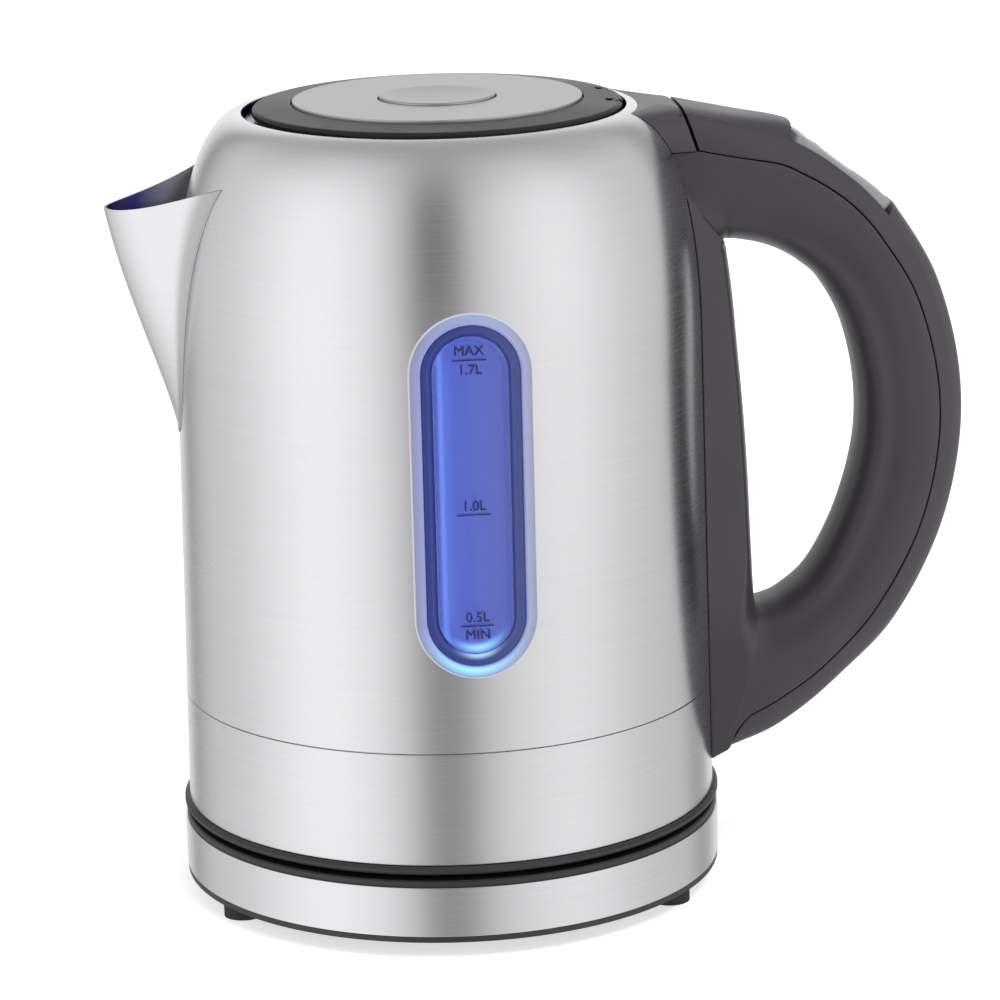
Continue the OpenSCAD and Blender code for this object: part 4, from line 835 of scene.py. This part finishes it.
def outer_power(t):
    """Exponent of the section's outer side: round along the grip, square at both roots."""
    return BULGE + 2.6 * ease((t - 11.4) / 2.4) + 2.2 * ease(1 - t / 2.1)


def section(t):
    """Frame of the handle's section at station t: inner point, outer point, outward direction,
    half depth, half width, and the distance of the parting line from the outer edge, which
    runs out in a quarter of an ellipse at the lower end."""
    a, b, d = through(INNER_EDGE, t), through(OUTER_EDGE, t), through(PARTING, t)
    length = np.linalg.norm(b - a)
    turn = max(t - COVER_TURN, 0) / (COVER_END - COVER_TURN)
    return a, b, (b - a) / length, length / 2, d[1] * GRIP_W / 2, d[0] * math.sqrt(max(1 - turn * turn, 0))


def lowered(p, d, depth):
    """Points moved back along d to the plane that lies depth under the panel's face."""
    h = (p - PANEL_CENTRE) @ PANEL_NORMAL + depth
    return np.where(h[:, None] > 0, p - np.outer(h / (d @ PANEL_NORMAL), d), p)


def cover_ring(t):
    """Ring of the grip's cover: the outer side is a power curve with the panel's pocket cut
    into it down to the panel's plane, its parting edges are rounded with the radius EDGE,
    and a straight line closes it along the parting."""
    a, b, d2, depth, half, part = section(t)
    n = outer_power(t)
    d, c = np.array([d2[0], 0, d2[1]]), np.array([(a + b)[0] / 2, 0, (a + b)[1] / 2])
    place = lambda u, v: c + np.outer(u, d) + np.outer(v, [0, 1, 0])
    edge = min(EDGE, part * 0.4)
    u_end = depth - part
    q_end = math.acos(min((u_end + edge) / depth, 1) ** (n / 2))
    q_top = math.asin(min(POCKET_HALF / half, 1) ** (n / 2))
    crown = np.array([1, 0.985, 0.8, 0.6, 0.4, 0.2, 0, -0.2, -0.4, -0.6, -0.8, -0.985, -1])
    q_crown = np.sign(crown) * np.arcsin(np.minimum(np.abs(crown) * POCKET_HALF / half, 1) ** (n / 2))
    flank = np.linspace(q_end, q_top, 24)
    q = np.concatenate([flank, q_crown, -flank[::-1]])
    even = np.linspace(q_end, -q_end, len(q))
    q = q + (even - q) * ease((t - 11.5) / 1.8)
    u, v = power_curve(np.cos(q), depth, n), power_curve(np.sin(q), half, n)
    arcs = np.linspace(math.pi / 2, 0, 5)[:-1]
    lip_u, lip_v = u[0] - edge * np.sin(arcs), v[0] - edge * (1 - np.cos(arcs))
    outer = place(np.concatenate([lip_u, u, lip_u[::-1]]), np.concatenate([lip_v, v, -lip_v[::-1]]))
    if POCKET_FROM < t < FLAT_TO:
        rim = lowered(outer, d, 0)
        middle = slice(len(lip_u) + 25, len(lip_u) + 36)
        if t < POCKET_TO:
            rim[middle] = lowered(outer[middle], d, POCKET_DEPTH)
        outer = rim
    back = np.linspace(-lip_v[0], lip_v[0], len(outer) + 2)[1:-1]
    return np.concatenate([outer, place(0 * back + u_end, back)])


cover_t = np.concatenate([np.linspace(0, POCKET_FROM - 0.015, 34),
                          np.linspace(POCKET_FROM + 0.015, POCKET_TO - 0.015, 60),
                          np.linspace(POCKET_TO + 0.015, COVER_TURN, 130),
                          COVER_TURN + (COVER_END - COVER_TURN) * np.sin(np.linspace(0.1, 1.5, 16))])
add_piece("handle_cover", [band(np.stack([cover_ring(t) for t in cover_t]))], "kettle", "handle_plastic",
          ["grip_cover"], angle=40)

STRIP_FRONT = np.array([[86.5, 76.2], [85.6, 91], [84.7, 114.3], [83.6, 132], [82.2, 148.8], [80.9, 164],
                        [79.4, 176], [78.9, 177.6]])
STRIP_HALF, STRIP_GAP, STRIP_TOP, CREASE_Z = 17.0, 0.12, 204.9, 192.5


def back_line(z):
    """The strip's edge on the body at the height z, at the half width STRIP_HALF."""
    return np.stack([np.sqrt((body_r(z) + STRIP_GAP) ** 2 - STRIP_HALF ** 2), z], -1)


def resampled(points, count):
    """Points evenly spaced along a line, without its last point."""
    points = np.array(points, float)
    run = np.concatenate([[0], np.cumsum(np.linalg.norm(np.diff(points, axis=0), axis=1))])
    at = np.linspace(0, run[-1], count + 1)[:-1]
    return np.stack([np.interp(at, run, points[:, k]) for k in (0, 1)], 1)


def grip_loops():
    """Matching points round the finger gap and round the inner half's outer limit, with the
    station of the section where the grip is, and the weight of the grip's own section."""
    gap_side, limit, station, weight = [], [], [], []

    def leg(inner, outer, count, t0, t1, w0, w1):
        gap_side.append(resampled(inner, count))
        limit.append(resampled(outer, count))
        station.append(np.linspace(t0, t1, count + 1)[:-1])
        weight.append(ease(np.linspace(w0, w1, count + 1)[:-1]))

    def parting_line(t):
        _, b, d, _, _, part = section(t)
        return b - d * (part + PARTING_GAP)

    edge = lambda t: through(INNER_EDGE, t)
    front = lambda k: through(STRIP_FRONT, k)
    t = np.linspace(0.8, 13.2, 240)
    leg([edge(k) for k in t], [parting_line(k) for k in t], 240, 0.8, 13.2, 1, 1)
    t = np.concatenate([np.linspace(13.2, COVER_TURN, 8),
                        COVER_TURN + (COVER_END - COVER_TURN) * np.sin(np.linspace(0.1, 1.57, 14))])
    low_edge = [through(OUTER_EDGE, k) + [0, 1.4 - 1.4 * (k - COVER_END)]
                for k in np.linspace(COVER_END + 0.05, 15, 6)]
    lift = 1.2 * ease((t - COVER_TURN) / (COVER_END - COVER_TURN)) ** 3
    leg([edge(k) for k in np.linspace(13.2, 14, 12)], [parting_line(k) + [0, x] for k, x in zip(t, lift)],
        40, 13.2, 14, 1, 0.75)
    leg([edge(14), [86.75, 74.75]], low_edge, 14, 14, 14, 0.75, 0.6)
    z = np.linspace(low_edge[-1][1] + 0.3, 70, 40)
    leg([[86.75, 74.75], front(0)], back_line(z), 36, 14, 14, 0.6, 0.3)
    leg([front(k) for k in np.linspace(0, 1, 8)], back_line(np.linspace(70, 92, 10)), 16, 14, 14, 0.3, 0)
    leg([front(k) for k in np.linspace(1, 5, 30)], back_line(np.linspace(92, 160, 40)), 60, 14, 14, 0, 0)
    leg([front(k) for k in np.linspace(5, 6.6, 8)], back_line(np.linspace(160, CREASE_Z - 1.2, 20)), 26,
        0, 0, 0, 0)
    leg([front(6.6), front(7)], back_line(np.linspace(CREASE_Z - 1.2, CREASE_Z + 1.2, 5)), 12, 0, 0, 0, 1)
    leg([front(7), edge(0.05)], back_line(np.linspace(CREASE_Z + 1.2, STRIP_TOP, 14)), 16, 0, 0, 1, 1)
    leg([edge(0.05), edge(0.1)], [back_line(np.array(STRIP_TOP)), parting_line(0)], 8, 0, 0, 1, 1)
    leg([edge(k) for k in np.linspace(0.1, 0.8, 8)], [parting_line(k) for k in np.linspace(0, 0.8, 8)], 16,
        0, 0.8, 1, 1)
    return [np.concatenate(x) for x in (gap_side, limit, station, weight)]


def from_gap(points, loop):
    """Distance of each point from the closed line round the finger gap."""
    a, ab = loop, np.roll(loop, -1, 0) - loop
    best = np.full(len(points), 1e9)
    for k in range(len(a)):
        ap = points - a[k]
        f = np.clip(ap @ ab[k] / max(ab[k] @ ab[k], 1e-12), 0, 1)
        best = np.minimum(best, np.linalg.norm(ap - np.outer(f, ab[k]), axis=1))
    return best


def grip_and_strip():
    """Inner half of the grip and the strip on the body as one skin. Over the side view its
    half width is w (1 - (1 - d / r)^n)^(1/n), with d the distance from the finger gap up to
    the rounding's width r: deep and full along the grip, narrow along the strip, where w
    tapers to the front. Past the grip's middle it falls off again as its section does."""
    gap_side, limit, station, weight = grip_loops()
    f = np.linspace(0, 1, 44) ** 1.6
    flat = gap_side[:, None] + (limit - gap_side)[:, None] * f[None, :, None]
    d = from_gap(flat.reshape(-1, 2), gap_side).reshape(flat.shape[:2])
    d[:, 0] = 0
    frames = [section(t) for t in station]
    depth, half = [np.array([x[k] for x in frames])[:, None] for k in (3, 4)]
    w = weight[:, None]
    z = flat[..., 1]
    taper = 0.3 + 2.3 * ease((z - 60) / 26)
    width = w * half + (1 - w) * (STRIP_HALF - taper * (1 - f[None]))
    reach = 3.4 + (depth - 3.4) * w
    n = 2 + (BULGE - 2) * w
    y = (1 - (1 - np.minimum(d / reach, 1)) ** n) ** (1 / n)
    power = np.array([outer_power(t) for t in station])[:, None]
    part = np.array([min(through(PARTING, t)[0], section(t)[3]) for t in station])[:, None]
    past = f[None] * np.linalg.norm(limit - gap_side, axis=1)[:, None] - depth
    fall = (1 - (np.clip(past, 0, depth - part) / depth) ** power) ** (1 / power)
    y = width * y * (1 - w + w * fall)
    side = np.stack([flat[..., 0], y, flat[..., 1]], -1)
    arcs = np.linspace(0, math.pi / 2, 4)[1:]
    inward = (gap_side - limit) / np.linalg.norm(gap_side - limit, axis=1)[:, None]
    side[:, -1, 0] += inward[:, 0] * EDGE
    side[:, -1, 2] += inward[:, 1] * EDGE
    out = np.stack([-inward[:, 0], 0 * inward[:, 0], -inward[:, 1]], 1)[:, None]
    lip = side[:, -1:] + out * (EDGE * np.sin(arcs))[None, :, None]
    lip[..., 1] -= EDGE * (1 - np.cos(arcs))[None]
    wall = np.repeat(lip[:, -1:], 7, 1)
    wall[..., 1] *= np.linspace(0.8, -0.8, 7)[None]
    wall[:, 2:5] += 0.85 * PARTING_GAP * out
    across = lip[:, ::-1] * [1, -1, 1]
    shut = np.concatenate([lip[:, -1:], wall, across[:, :1]], 1)
    on_body = np.sqrt(np.maximum((body_r(shut[..., 2]) + STRIP_GAP) ** 2 - shut[..., 1] ** 2, 0))
    shut[..., 0] = np.maximum(shut[..., 0], on_body)
    ring = np.concatenate([side, lip[:, :-1], shut, across[:, 1:], (side * [1, -1, 1])[:, :0:-1]], 1)
    rows, cols = ring.shape[:2]
    return ring.reshape(-1, 3), grid_faces(rows, cols, True, True)


add_piece("handle_grip", [grip_and_strip()], "kettle", "handle_plastic", ["grip_inner", "handle_strip"],
          angle=40)

HOOD = [[70.0, 205.2, 17.2, 16.4], [69.1, 208, 18.4, 16], [68.7, 209.2, 18.9, 15.8],
        [68.0, 211.5, 19.8, 15.2], [67.7, 212.2, 20.2, 14.9], [67.2, 214, 21, 13.6],
        [66.6, 215.6, 21.9, 11.4], [65.4, 216.5, 22.2, 9.6], [60.5, 217.3, 22.2, 8.6]]


def hood_ring(x, z, back, front):
    """Ring of the hinge hood: its front is x - 0.5 f^4 across f = -1..1, its back follows
    the body's curve."""
    f = np.linspace(-1, 1, 49)
    fx = x - 0.5 * f ** 4
    y = -back * f
    bx = np.minimum(np.sqrt((float(body_r(z)) + 0.12) ** 2 - y * y), x - 2)
    return np.concatenate([np.stack([fx, front * f, z + 0 * f], 1), np.stack([bx, y, z + 0 * f], 1)])


rings = [hood_ring(*through(HOOD, t)) for t in np.linspace(0, len(HOOD) - 1, 60)]
add_piece("hinge_cap", [band(np.stack(rings))], "kettle", "handle_plastic", ["hinge_hood"], angle=40)

# ------------------------------------------------------------------ lid

DISC_R, BUTTON_R, LID_R = 39.4, 15.8, 50.4
CUP_R = 44.5
HINGE = np.array([OPENING_R - 4, 0, TOP_Z - 0.1])
NECK_TOP = HINGE[2] - 5.5
ring_low = TOP_Z - 1
ring_profile = rounded([
    [CUP_R + 0.05, ring_low, 0], [LID_R, ring_low, 0.3], [LID_R, TOP_Z + 1.1, 1.1],
    [DISC_R + 0.45, LID_TOP - 0.55, 0.3], [DISC_R + 0.45, LID_TOP - 1.45, 0],
    [DISC_R - 3.4, LID_TOP - 1.45, 0],
    [DISC_R - 3.4, LID_TOP - 2.6, 0], [CUP_R - 1, LID_TOP - 2.6, 0], [CUP_R + 0.05, LID_TOP - 3.0, 0]])
slots_cut = [block([HINGE[0] - 2.8, slot_y, NECK_TOP - 4], [HINGE[0] + 17.2, slot_y + 3.8, HINGE[2] + 1.8])
             for slot_y in (7.9, -11.7)]
add_piece("lid_rim", [lathe(ring_profile, 192, LID_SHIFT), drum(HINGE, [0, 1, 0], 1.5, 16)], "lid",
          "lid_plastic", ["lid_ring"], cuts=slots_cut)
hub = BUTTON_R + 0.4
disc_top = LID_TOP + 0.1
disc_profile = rounded([[hub, disc_top, 0.25], [hub, LID_TOP - 9.3, 0], [hub + 1.2, LID_TOP - 9.3, 0],
                        [hub + 1.2, LID_TOP - 1.4, 0], [DISC_R, LID_TOP - 1.4, 0], [DISC_R, disc_top, 0.25]])
add_piece("lid_plate_disc", [lathe(disc_profile, 192, LID_SHIFT)], "lid", "disc_steel", ["lid_disc"],
          cuts=[block([-49.5, -6.3, NECK_TOP + 0.05], [-5, 6.3, NECK_TOP + 2.05])])

top = LID_TOP + 0.75
skirt_low = LID_TOP - 11
dish = np.linspace(0, 1, 14)[:-1]
dish_line = np.stack([14.3 * dish, top - 0.9 * (1 - dish ** 2)], 1)
button_edge = rounded([
    [14.3, top, 0.0], [BUTTON_R, top, 0.45], [BUTTON_R, skirt_low + 1.2, 0],
    [BUTTON_R + 1.2, skirt_low + 1.2, 0.2],
    [BUTTON_R + 1.2, skirt_low, 0.2], [BUTTON_R - 1.2, skirt_low, 0.2], [BUTTON_R - 1.2, top - 2, 0.3],
    [1, top - 2, 0]])
button_profile = np.concatenate([dish_line, button_edge, [[0, top - 2]]])
latch_top, under = NECK_TOP + 0.35 + 1.4, LID_TOP - 1.85
wedge = prism_y(np.array([[-6.6, under], [-6.6, latch_top - 1.9], [-4.7 + under - latch_top, under]]), -3, 3)
add_piece("lid_push_button", [turned_solid(button_profile, 160, LID_SHIFT), wedge], "lid_button",
          "button_silver", ["lid_button"], cuts=[block([-49.5, -6.3, NECK_TOP + 0.05], [-5 - 1.9, 6.3, NECK_TOP + 4.55])])

# ------------------------------------------------------------------ control panel


def to_panel(points):
    """From the panel's own frame (down the slope, across, outwards) to the row frame."""
    return PANEL_CENTRE + points[:, :1] * PANEL_DOWN + points[:, 1:2] * [0, 1, 0] + points[:, 2:] * PANEL_NORMAL


def pad(length, width, radius, rows, x=0.0, y=0.0):
    """Stack of round-cornered rectangles: each row is (inset, height), both ends closed."""
    loops = []
    for inset, z in rows:
        r = max(radius - inset, 0.15)
        hx, hy = length / 2 - inset - r, width / 2 - inset - r
        for k, (sx, sy) in enumerate([(1, 1), (-1, 1), (-1, -1), (1, -1)]):
            a = math.pi / 2 * k + np.linspace(0, math.pi / 2, 9)
            loops.append(np.stack([x + sx * hx + r * np.cos(a), y + sy * hy + r * np.sin(a), z + 0 * a], 1))
    n = 36
    polys = grid_faces(len(rows), n, False, True).tolist()
    polys += [list(range(n))[::-1], list(range((len(rows) - 1) * n, len(rows) * n))]
    return to_panel(np.concatenate(loops)), polys


def round_top(z_low, z_top, r, crown=0.0, steps=5):
    """Rows (inset, height) of an upright side with its top edge rounded and crowned."""
    a = np.linspace(0, math.pi / 2, steps + 1)
    rows = [[0, z_low]] + [[r * (1 - math.cos(w)), z_top - r + r * math.sin(w)] for w in a]
    return rows + ([[r + 0.9, z_top + 0.6 * crown], [r + 1.6, z_top + crown]] if crown else [])


START_X, KEY_L, KEY_W, START_D = 9.2, 8.6, 4.8, 10.4
KEY_PLACES = [(x, s * 5.4) for x in (-12.2, -5.8) for s in (-1, 1)]
KEY_LOW = -POCKET_DEPTH + 0.2 + 0.8 + 0.5 + 0.4 + 0.2
holes = [pad(KEY_W + 0.4, KEY_L + 0.4, 1, [[0, -3], [0, 1]], x, y) for x, y in KEY_PLACES]
ring_angle = np.arange(64) * 2 * math.pi / 64


def disc_on_panel(radius, z0, z1):
    loops = [np.stack([START_X + radius * np.cos(ring_angle), radius * np.sin(ring_angle), z + 0 * ring_angle], 1)
             for z in (z0, z1)]
    polys = grid_faces(2, 64, False, True).tolist() + [list(range(64))[::-1], list(range(64, 128))]
    return to_panel(np.concatenate(loops)), polys


face_rows = round_top(-POCKET_DEPTH + 0.15, 0, 0.3)
add_piece("panel_face", [pad(33, PANEL_W, 3, face_rows)], "kettle", "panel_silver", ["control_panel"],
          cuts=[pad(31, PANEL_W - 2, 1.6, [[0, -6], [0, -1.4]]), disc_on_panel(START_D / 2 + 0.2, -3, 1)] + holes)
for i, (x, y) in enumerate(KEY_PLACES):
    rows = [[-0.7, KEY_LOW], [-0.7, -1.5], [0, -1.5]] + round_top(-1.4, 0.2, 0.3, 0.15)
    add_piece(f"soft_key_{i + 1}", [pad(KEY_W, KEY_L, 0.9, rows, x, y)], f"key_{i + 1}", "key_silver",
              [f"key_{i + 1}"])
ridge = [[r, 0.2 + 0.15 * h]
         for r, h in ((4.9, 0), (4.55, 1), (4.1, 1), (3.9, 0), (2.9, 0), (2.7, 1), (2.4, 1), (2.2, 0))]
start_profile = np.array([[0, 0.1], [1.6, 0.12]] + ridge[::-1] + [
                         [START_D / 2 - 0.1, 0.1], [START_D / 2, -0.05],
                         [START_D / 2, -1.5], [START_D / 2 + 0.7, -1.5], [START_D / 2 + 0.7, KEY_LOW],
                         [0, KEY_LOW]])
points, polys = turned_solid(start_profile, 96, START_X)
add_piece("round_start_key", [(to_panel(points), polys)], "start_key", "key_silver", ["start_key"], angle=30)


def panel_text(text, x, y, height, z):
    """A number on the panel, read from the handle's outer side."""
    def on_key(co):
        return to_panel(np.stack([x - co[:, 1], y + co[:, 0], z + co[:, 2]], 1))

    return lettering(text, height, 0.02, 0, 3, "CENTER", on_key)


divider = make_mesh("line", [pad(0.5, 19, 0.2, [[0, -0.01], [0, 0.04]], 0.9, 0)])
join_marks("panel_legend", [divider], "kettle", line_ink)
for i, (x, y) in enumerate(KEY_PLACES):
    number = panel_text(("70", "80", "90", "100")[i], x, y, 2.4, 0.37)
    join_marks(f"key_number_{i + 1}", [number], f"key_{i + 1}", line_ink)

# ------------------------------------------------------------------ base

band_line = rounded([[BASE_R, BAND_BOTTOM, 0.25], [BASE_R, BAND_TOP, 0.25], [BASE_R - 0.6, BAND_TOP, 0.1],
                     [BASE_R - 0.6, BAND_BOTTOM, 0.1]], 4, 0.2)
gland_r = 6.8 / 2 + 1.6 + 0.1
gland_z = (low("cord_gland")[2] + high("cord_gland")[2]) / 2
add_piece("base_steel_band", [lathe(band_line, 256)], "base", "brushed_steel", ["base_band"],
          cuts=[drum([0, BASE_R - 5, gland_z], [0, 1, 0], gland_r, 14)], uv=uv_round)

# ------------------------------------------------------------------ floor, light and camera

floor_mesh = make_mesh("floor", [block([-9000, -9000, -40], [9000, 9000, -0.02])])
floor = bpy.data.objects.new("floor", floor_mesh)
bpy.context.scene.collection.objects.link(floor)
floor_mat = new_material("Floor", (0.80, 0.80, 0.80), 0.9, Emission_Color=(1, 1, 1, 1), Emission_Strength=0.62)
floor_mat.node_tree.nodes["Principled BSDF"].inputs["Specular IOR Level"].default_value = 0.0
floor_mesh.materials.append(floor_mat)
floor.visible_glossy = False

CAM = Vector((-0.12980, -1.18480, 0.41433))
PITCH, YAW, ROLL = math.radians(14.460), math.radians(7), math.radians(-1.3253)
forward = Vector((math.cos(PITCH) * math.sin(YAW), math.cos(PITCH) * math.cos(YAW), -math.sin(PITCH)))
right = Vector((math.cos(YAW), -math.sin(YAW), 0))
up = Vector((math.sin(PITCH) * math.sin(YAW), math.sin(PITCH) * math.cos(YAW), math.cos(PITCH)))
right_rolled = math.cos(ROLL) * right + math.sin(ROLL) * up
up_rolled = -math.sin(ROLL) * right + math.cos(ROLL) * up
camera_data = bpy.data.cameras.new("camera")
camera_data.lens, camera_data.sensor_width = 159.41, 36
camera_data.clip_start, camera_data.clip_end = 0.05, 40
camera = bpy.data.objects.new("camera", camera_data)
bpy.context.scene.collection.objects.link(camera)
turn3 = Matrix((right_rolled, up_rolled, -forward)).transposed()
camera.matrix_world = Matrix.Translation(CAM) @ turn3.to_4x4()
bpy.context.scene.camera = camera

# The studio: a grey room with soft boxes and dark flags round it. Each is a smooth bump over the
# compass angle from the camera's side, + to its right: (centre, width) in degrees
LEFT_BOX, RIGHT_BOX, BACK_BOX = (-55, 39), (55, 31), (180, 30)
LEFT_FLAG, RIGHT_FLAG, FRONT_GAP = (-144, 10), (140, 10), (-1, 14)
STUDIO_GAIN = 1.10
STUDIO_STEPS = 31


def studio_ring(room, left, right, back, flags, gap):
    """Brightness stops round the room at one height: the room's grey, the soft boxes added
    and the flags and the gap at the camera taken away."""
    parts = [(LEFT_BOX, left), (RIGHT_BOX, right), (BACK_BOX, back),
             (LEFT_FLAG, -flags), (RIGHT_FLAG, -flags), (FRONT_GAP, -gap)]
    out = []
    for k in range(STUDIO_STEPS + 1):
        compass_angle = 360 * k / STUDIO_STEPS - 180
        v = room
        for (centre, width), strength in parts:
            away = (compass_angle - centre + 180) % 360 - 180
            v += strength * math.exp(-(away / width) ** 2)
        out.append((k / STUDIO_STEPS, max(v, 0) * STUDIO_GAIN))
    return out


DEEP_STUDIO = studio_ring(0.60, 0.42, 0.27, 0.32, 0.38, 0.42)
LOW_STUDIO = studio_ring(0.62, 0.43, 0.36, 0.30, 0.45, 0.62)
HIGH_STUDIO = studio_ring(0.44, 0.28, 0.20, 0.0, 0.0, 0.14)
world = bpy.data.worlds.new("studio")
bpy.context.scene.world = world
world.use_nodes = True
wt = world.node_tree
wt.nodes.clear()
ray = put(wt, "TexCoord").outputs["Generated"]
toward = (-math.sin(YAW), -math.cos(YAW), 0)
along_right = (math.cos(YAW), -math.sin(YAW), 0)
x_part = put(wt, "VectorMath", {0: ray, 1: along_right}, operation="DOT_PRODUCT").outputs["Value"]
y_part = put(wt, "VectorMath", {0: ray, 1: toward}, operation="DOT_PRODUCT").outputs["Value"]
angle = put(wt, "Math", {0: x_part, 1: y_part}, operation="ARCTAN2").outputs[0]
compass = span(wt, angle, -math.pi, math.pi, 0, 1)
deep, walls, upper = [ramp(wt, compass, ring) for ring in (DEEP_STUDIO, LOW_STUDIO, HIGH_STUDIO)]
height = put(wt, "SeparateXYZ", {0: ray}).outputs["Z"]
rise = put(wt, "MapRange", {0: height, 1: 0.35, 2: 0.78, 3: 0.0, 4: 1.0},
           interpolation_type="SMOOTHSTEP").outputs[0]
peak = span(wt, height, 0.80, 1.0, 0, 1)
below = put(wt, "Mix", {"Factor": span(wt, height, -0.28, 0.0, 0, 1), 6: deep, 7: walls},
            data_type="RGBA").outputs[2]
sides = put(wt, "Mix", {"Factor": rise, 6: below, 7: upper}, data_type="RGBA").outputs[2]
zenith = 0.38 * STUDIO_GAIN
mixed = put(wt, "Mix", {"Factor": peak, 6: sides, 7: (zenith, zenith, zenith, 1)}, data_type="RGBA").outputs[2]
path = put(wt, "LightPath")
seen = put(wt, "Math", {0: path.outputs["Is Camera Ray"], 1: path.outputs["Is Transmission Ray"]},
           operation="MAXIMUM")
colour = put(wt, "Mix", {"Factor": seen.outputs[0], 6: mixed, 7: (1, 1, 1, 1)}, data_type="RGBA").outputs[2]
light = put(wt, "Background", {"Color": colour, "Strength": 1.0})
wt.links.new(light.outputs[0], put(wt, "OutputWorld").inputs["Surface"])

scene = bpy.context.scene
scene.view_settings.view_transform = "Standard"


def area(name, place, target, size, watts):
    """A soft lamp that shows in no reflection."""
    lamp = bpy.data.lights.new(name, "AREA")
    lamp.energy, lamp.size = watts, size
    obj = bpy.data.objects.new(name, lamp)
    scene.collection.objects.link(obj)
    obj.location = place
    obj.rotation_mode = "QUATERNION"
    obj.rotation_quaternion = (Vector(target) - Vector(place)).to_track_quat("-Z", "Y")
    obj.visible_glossy = False
    return obj


area("over_light", (0.5, -0.5, 1.5), (0, 0, 0.1), 0.9, 14)
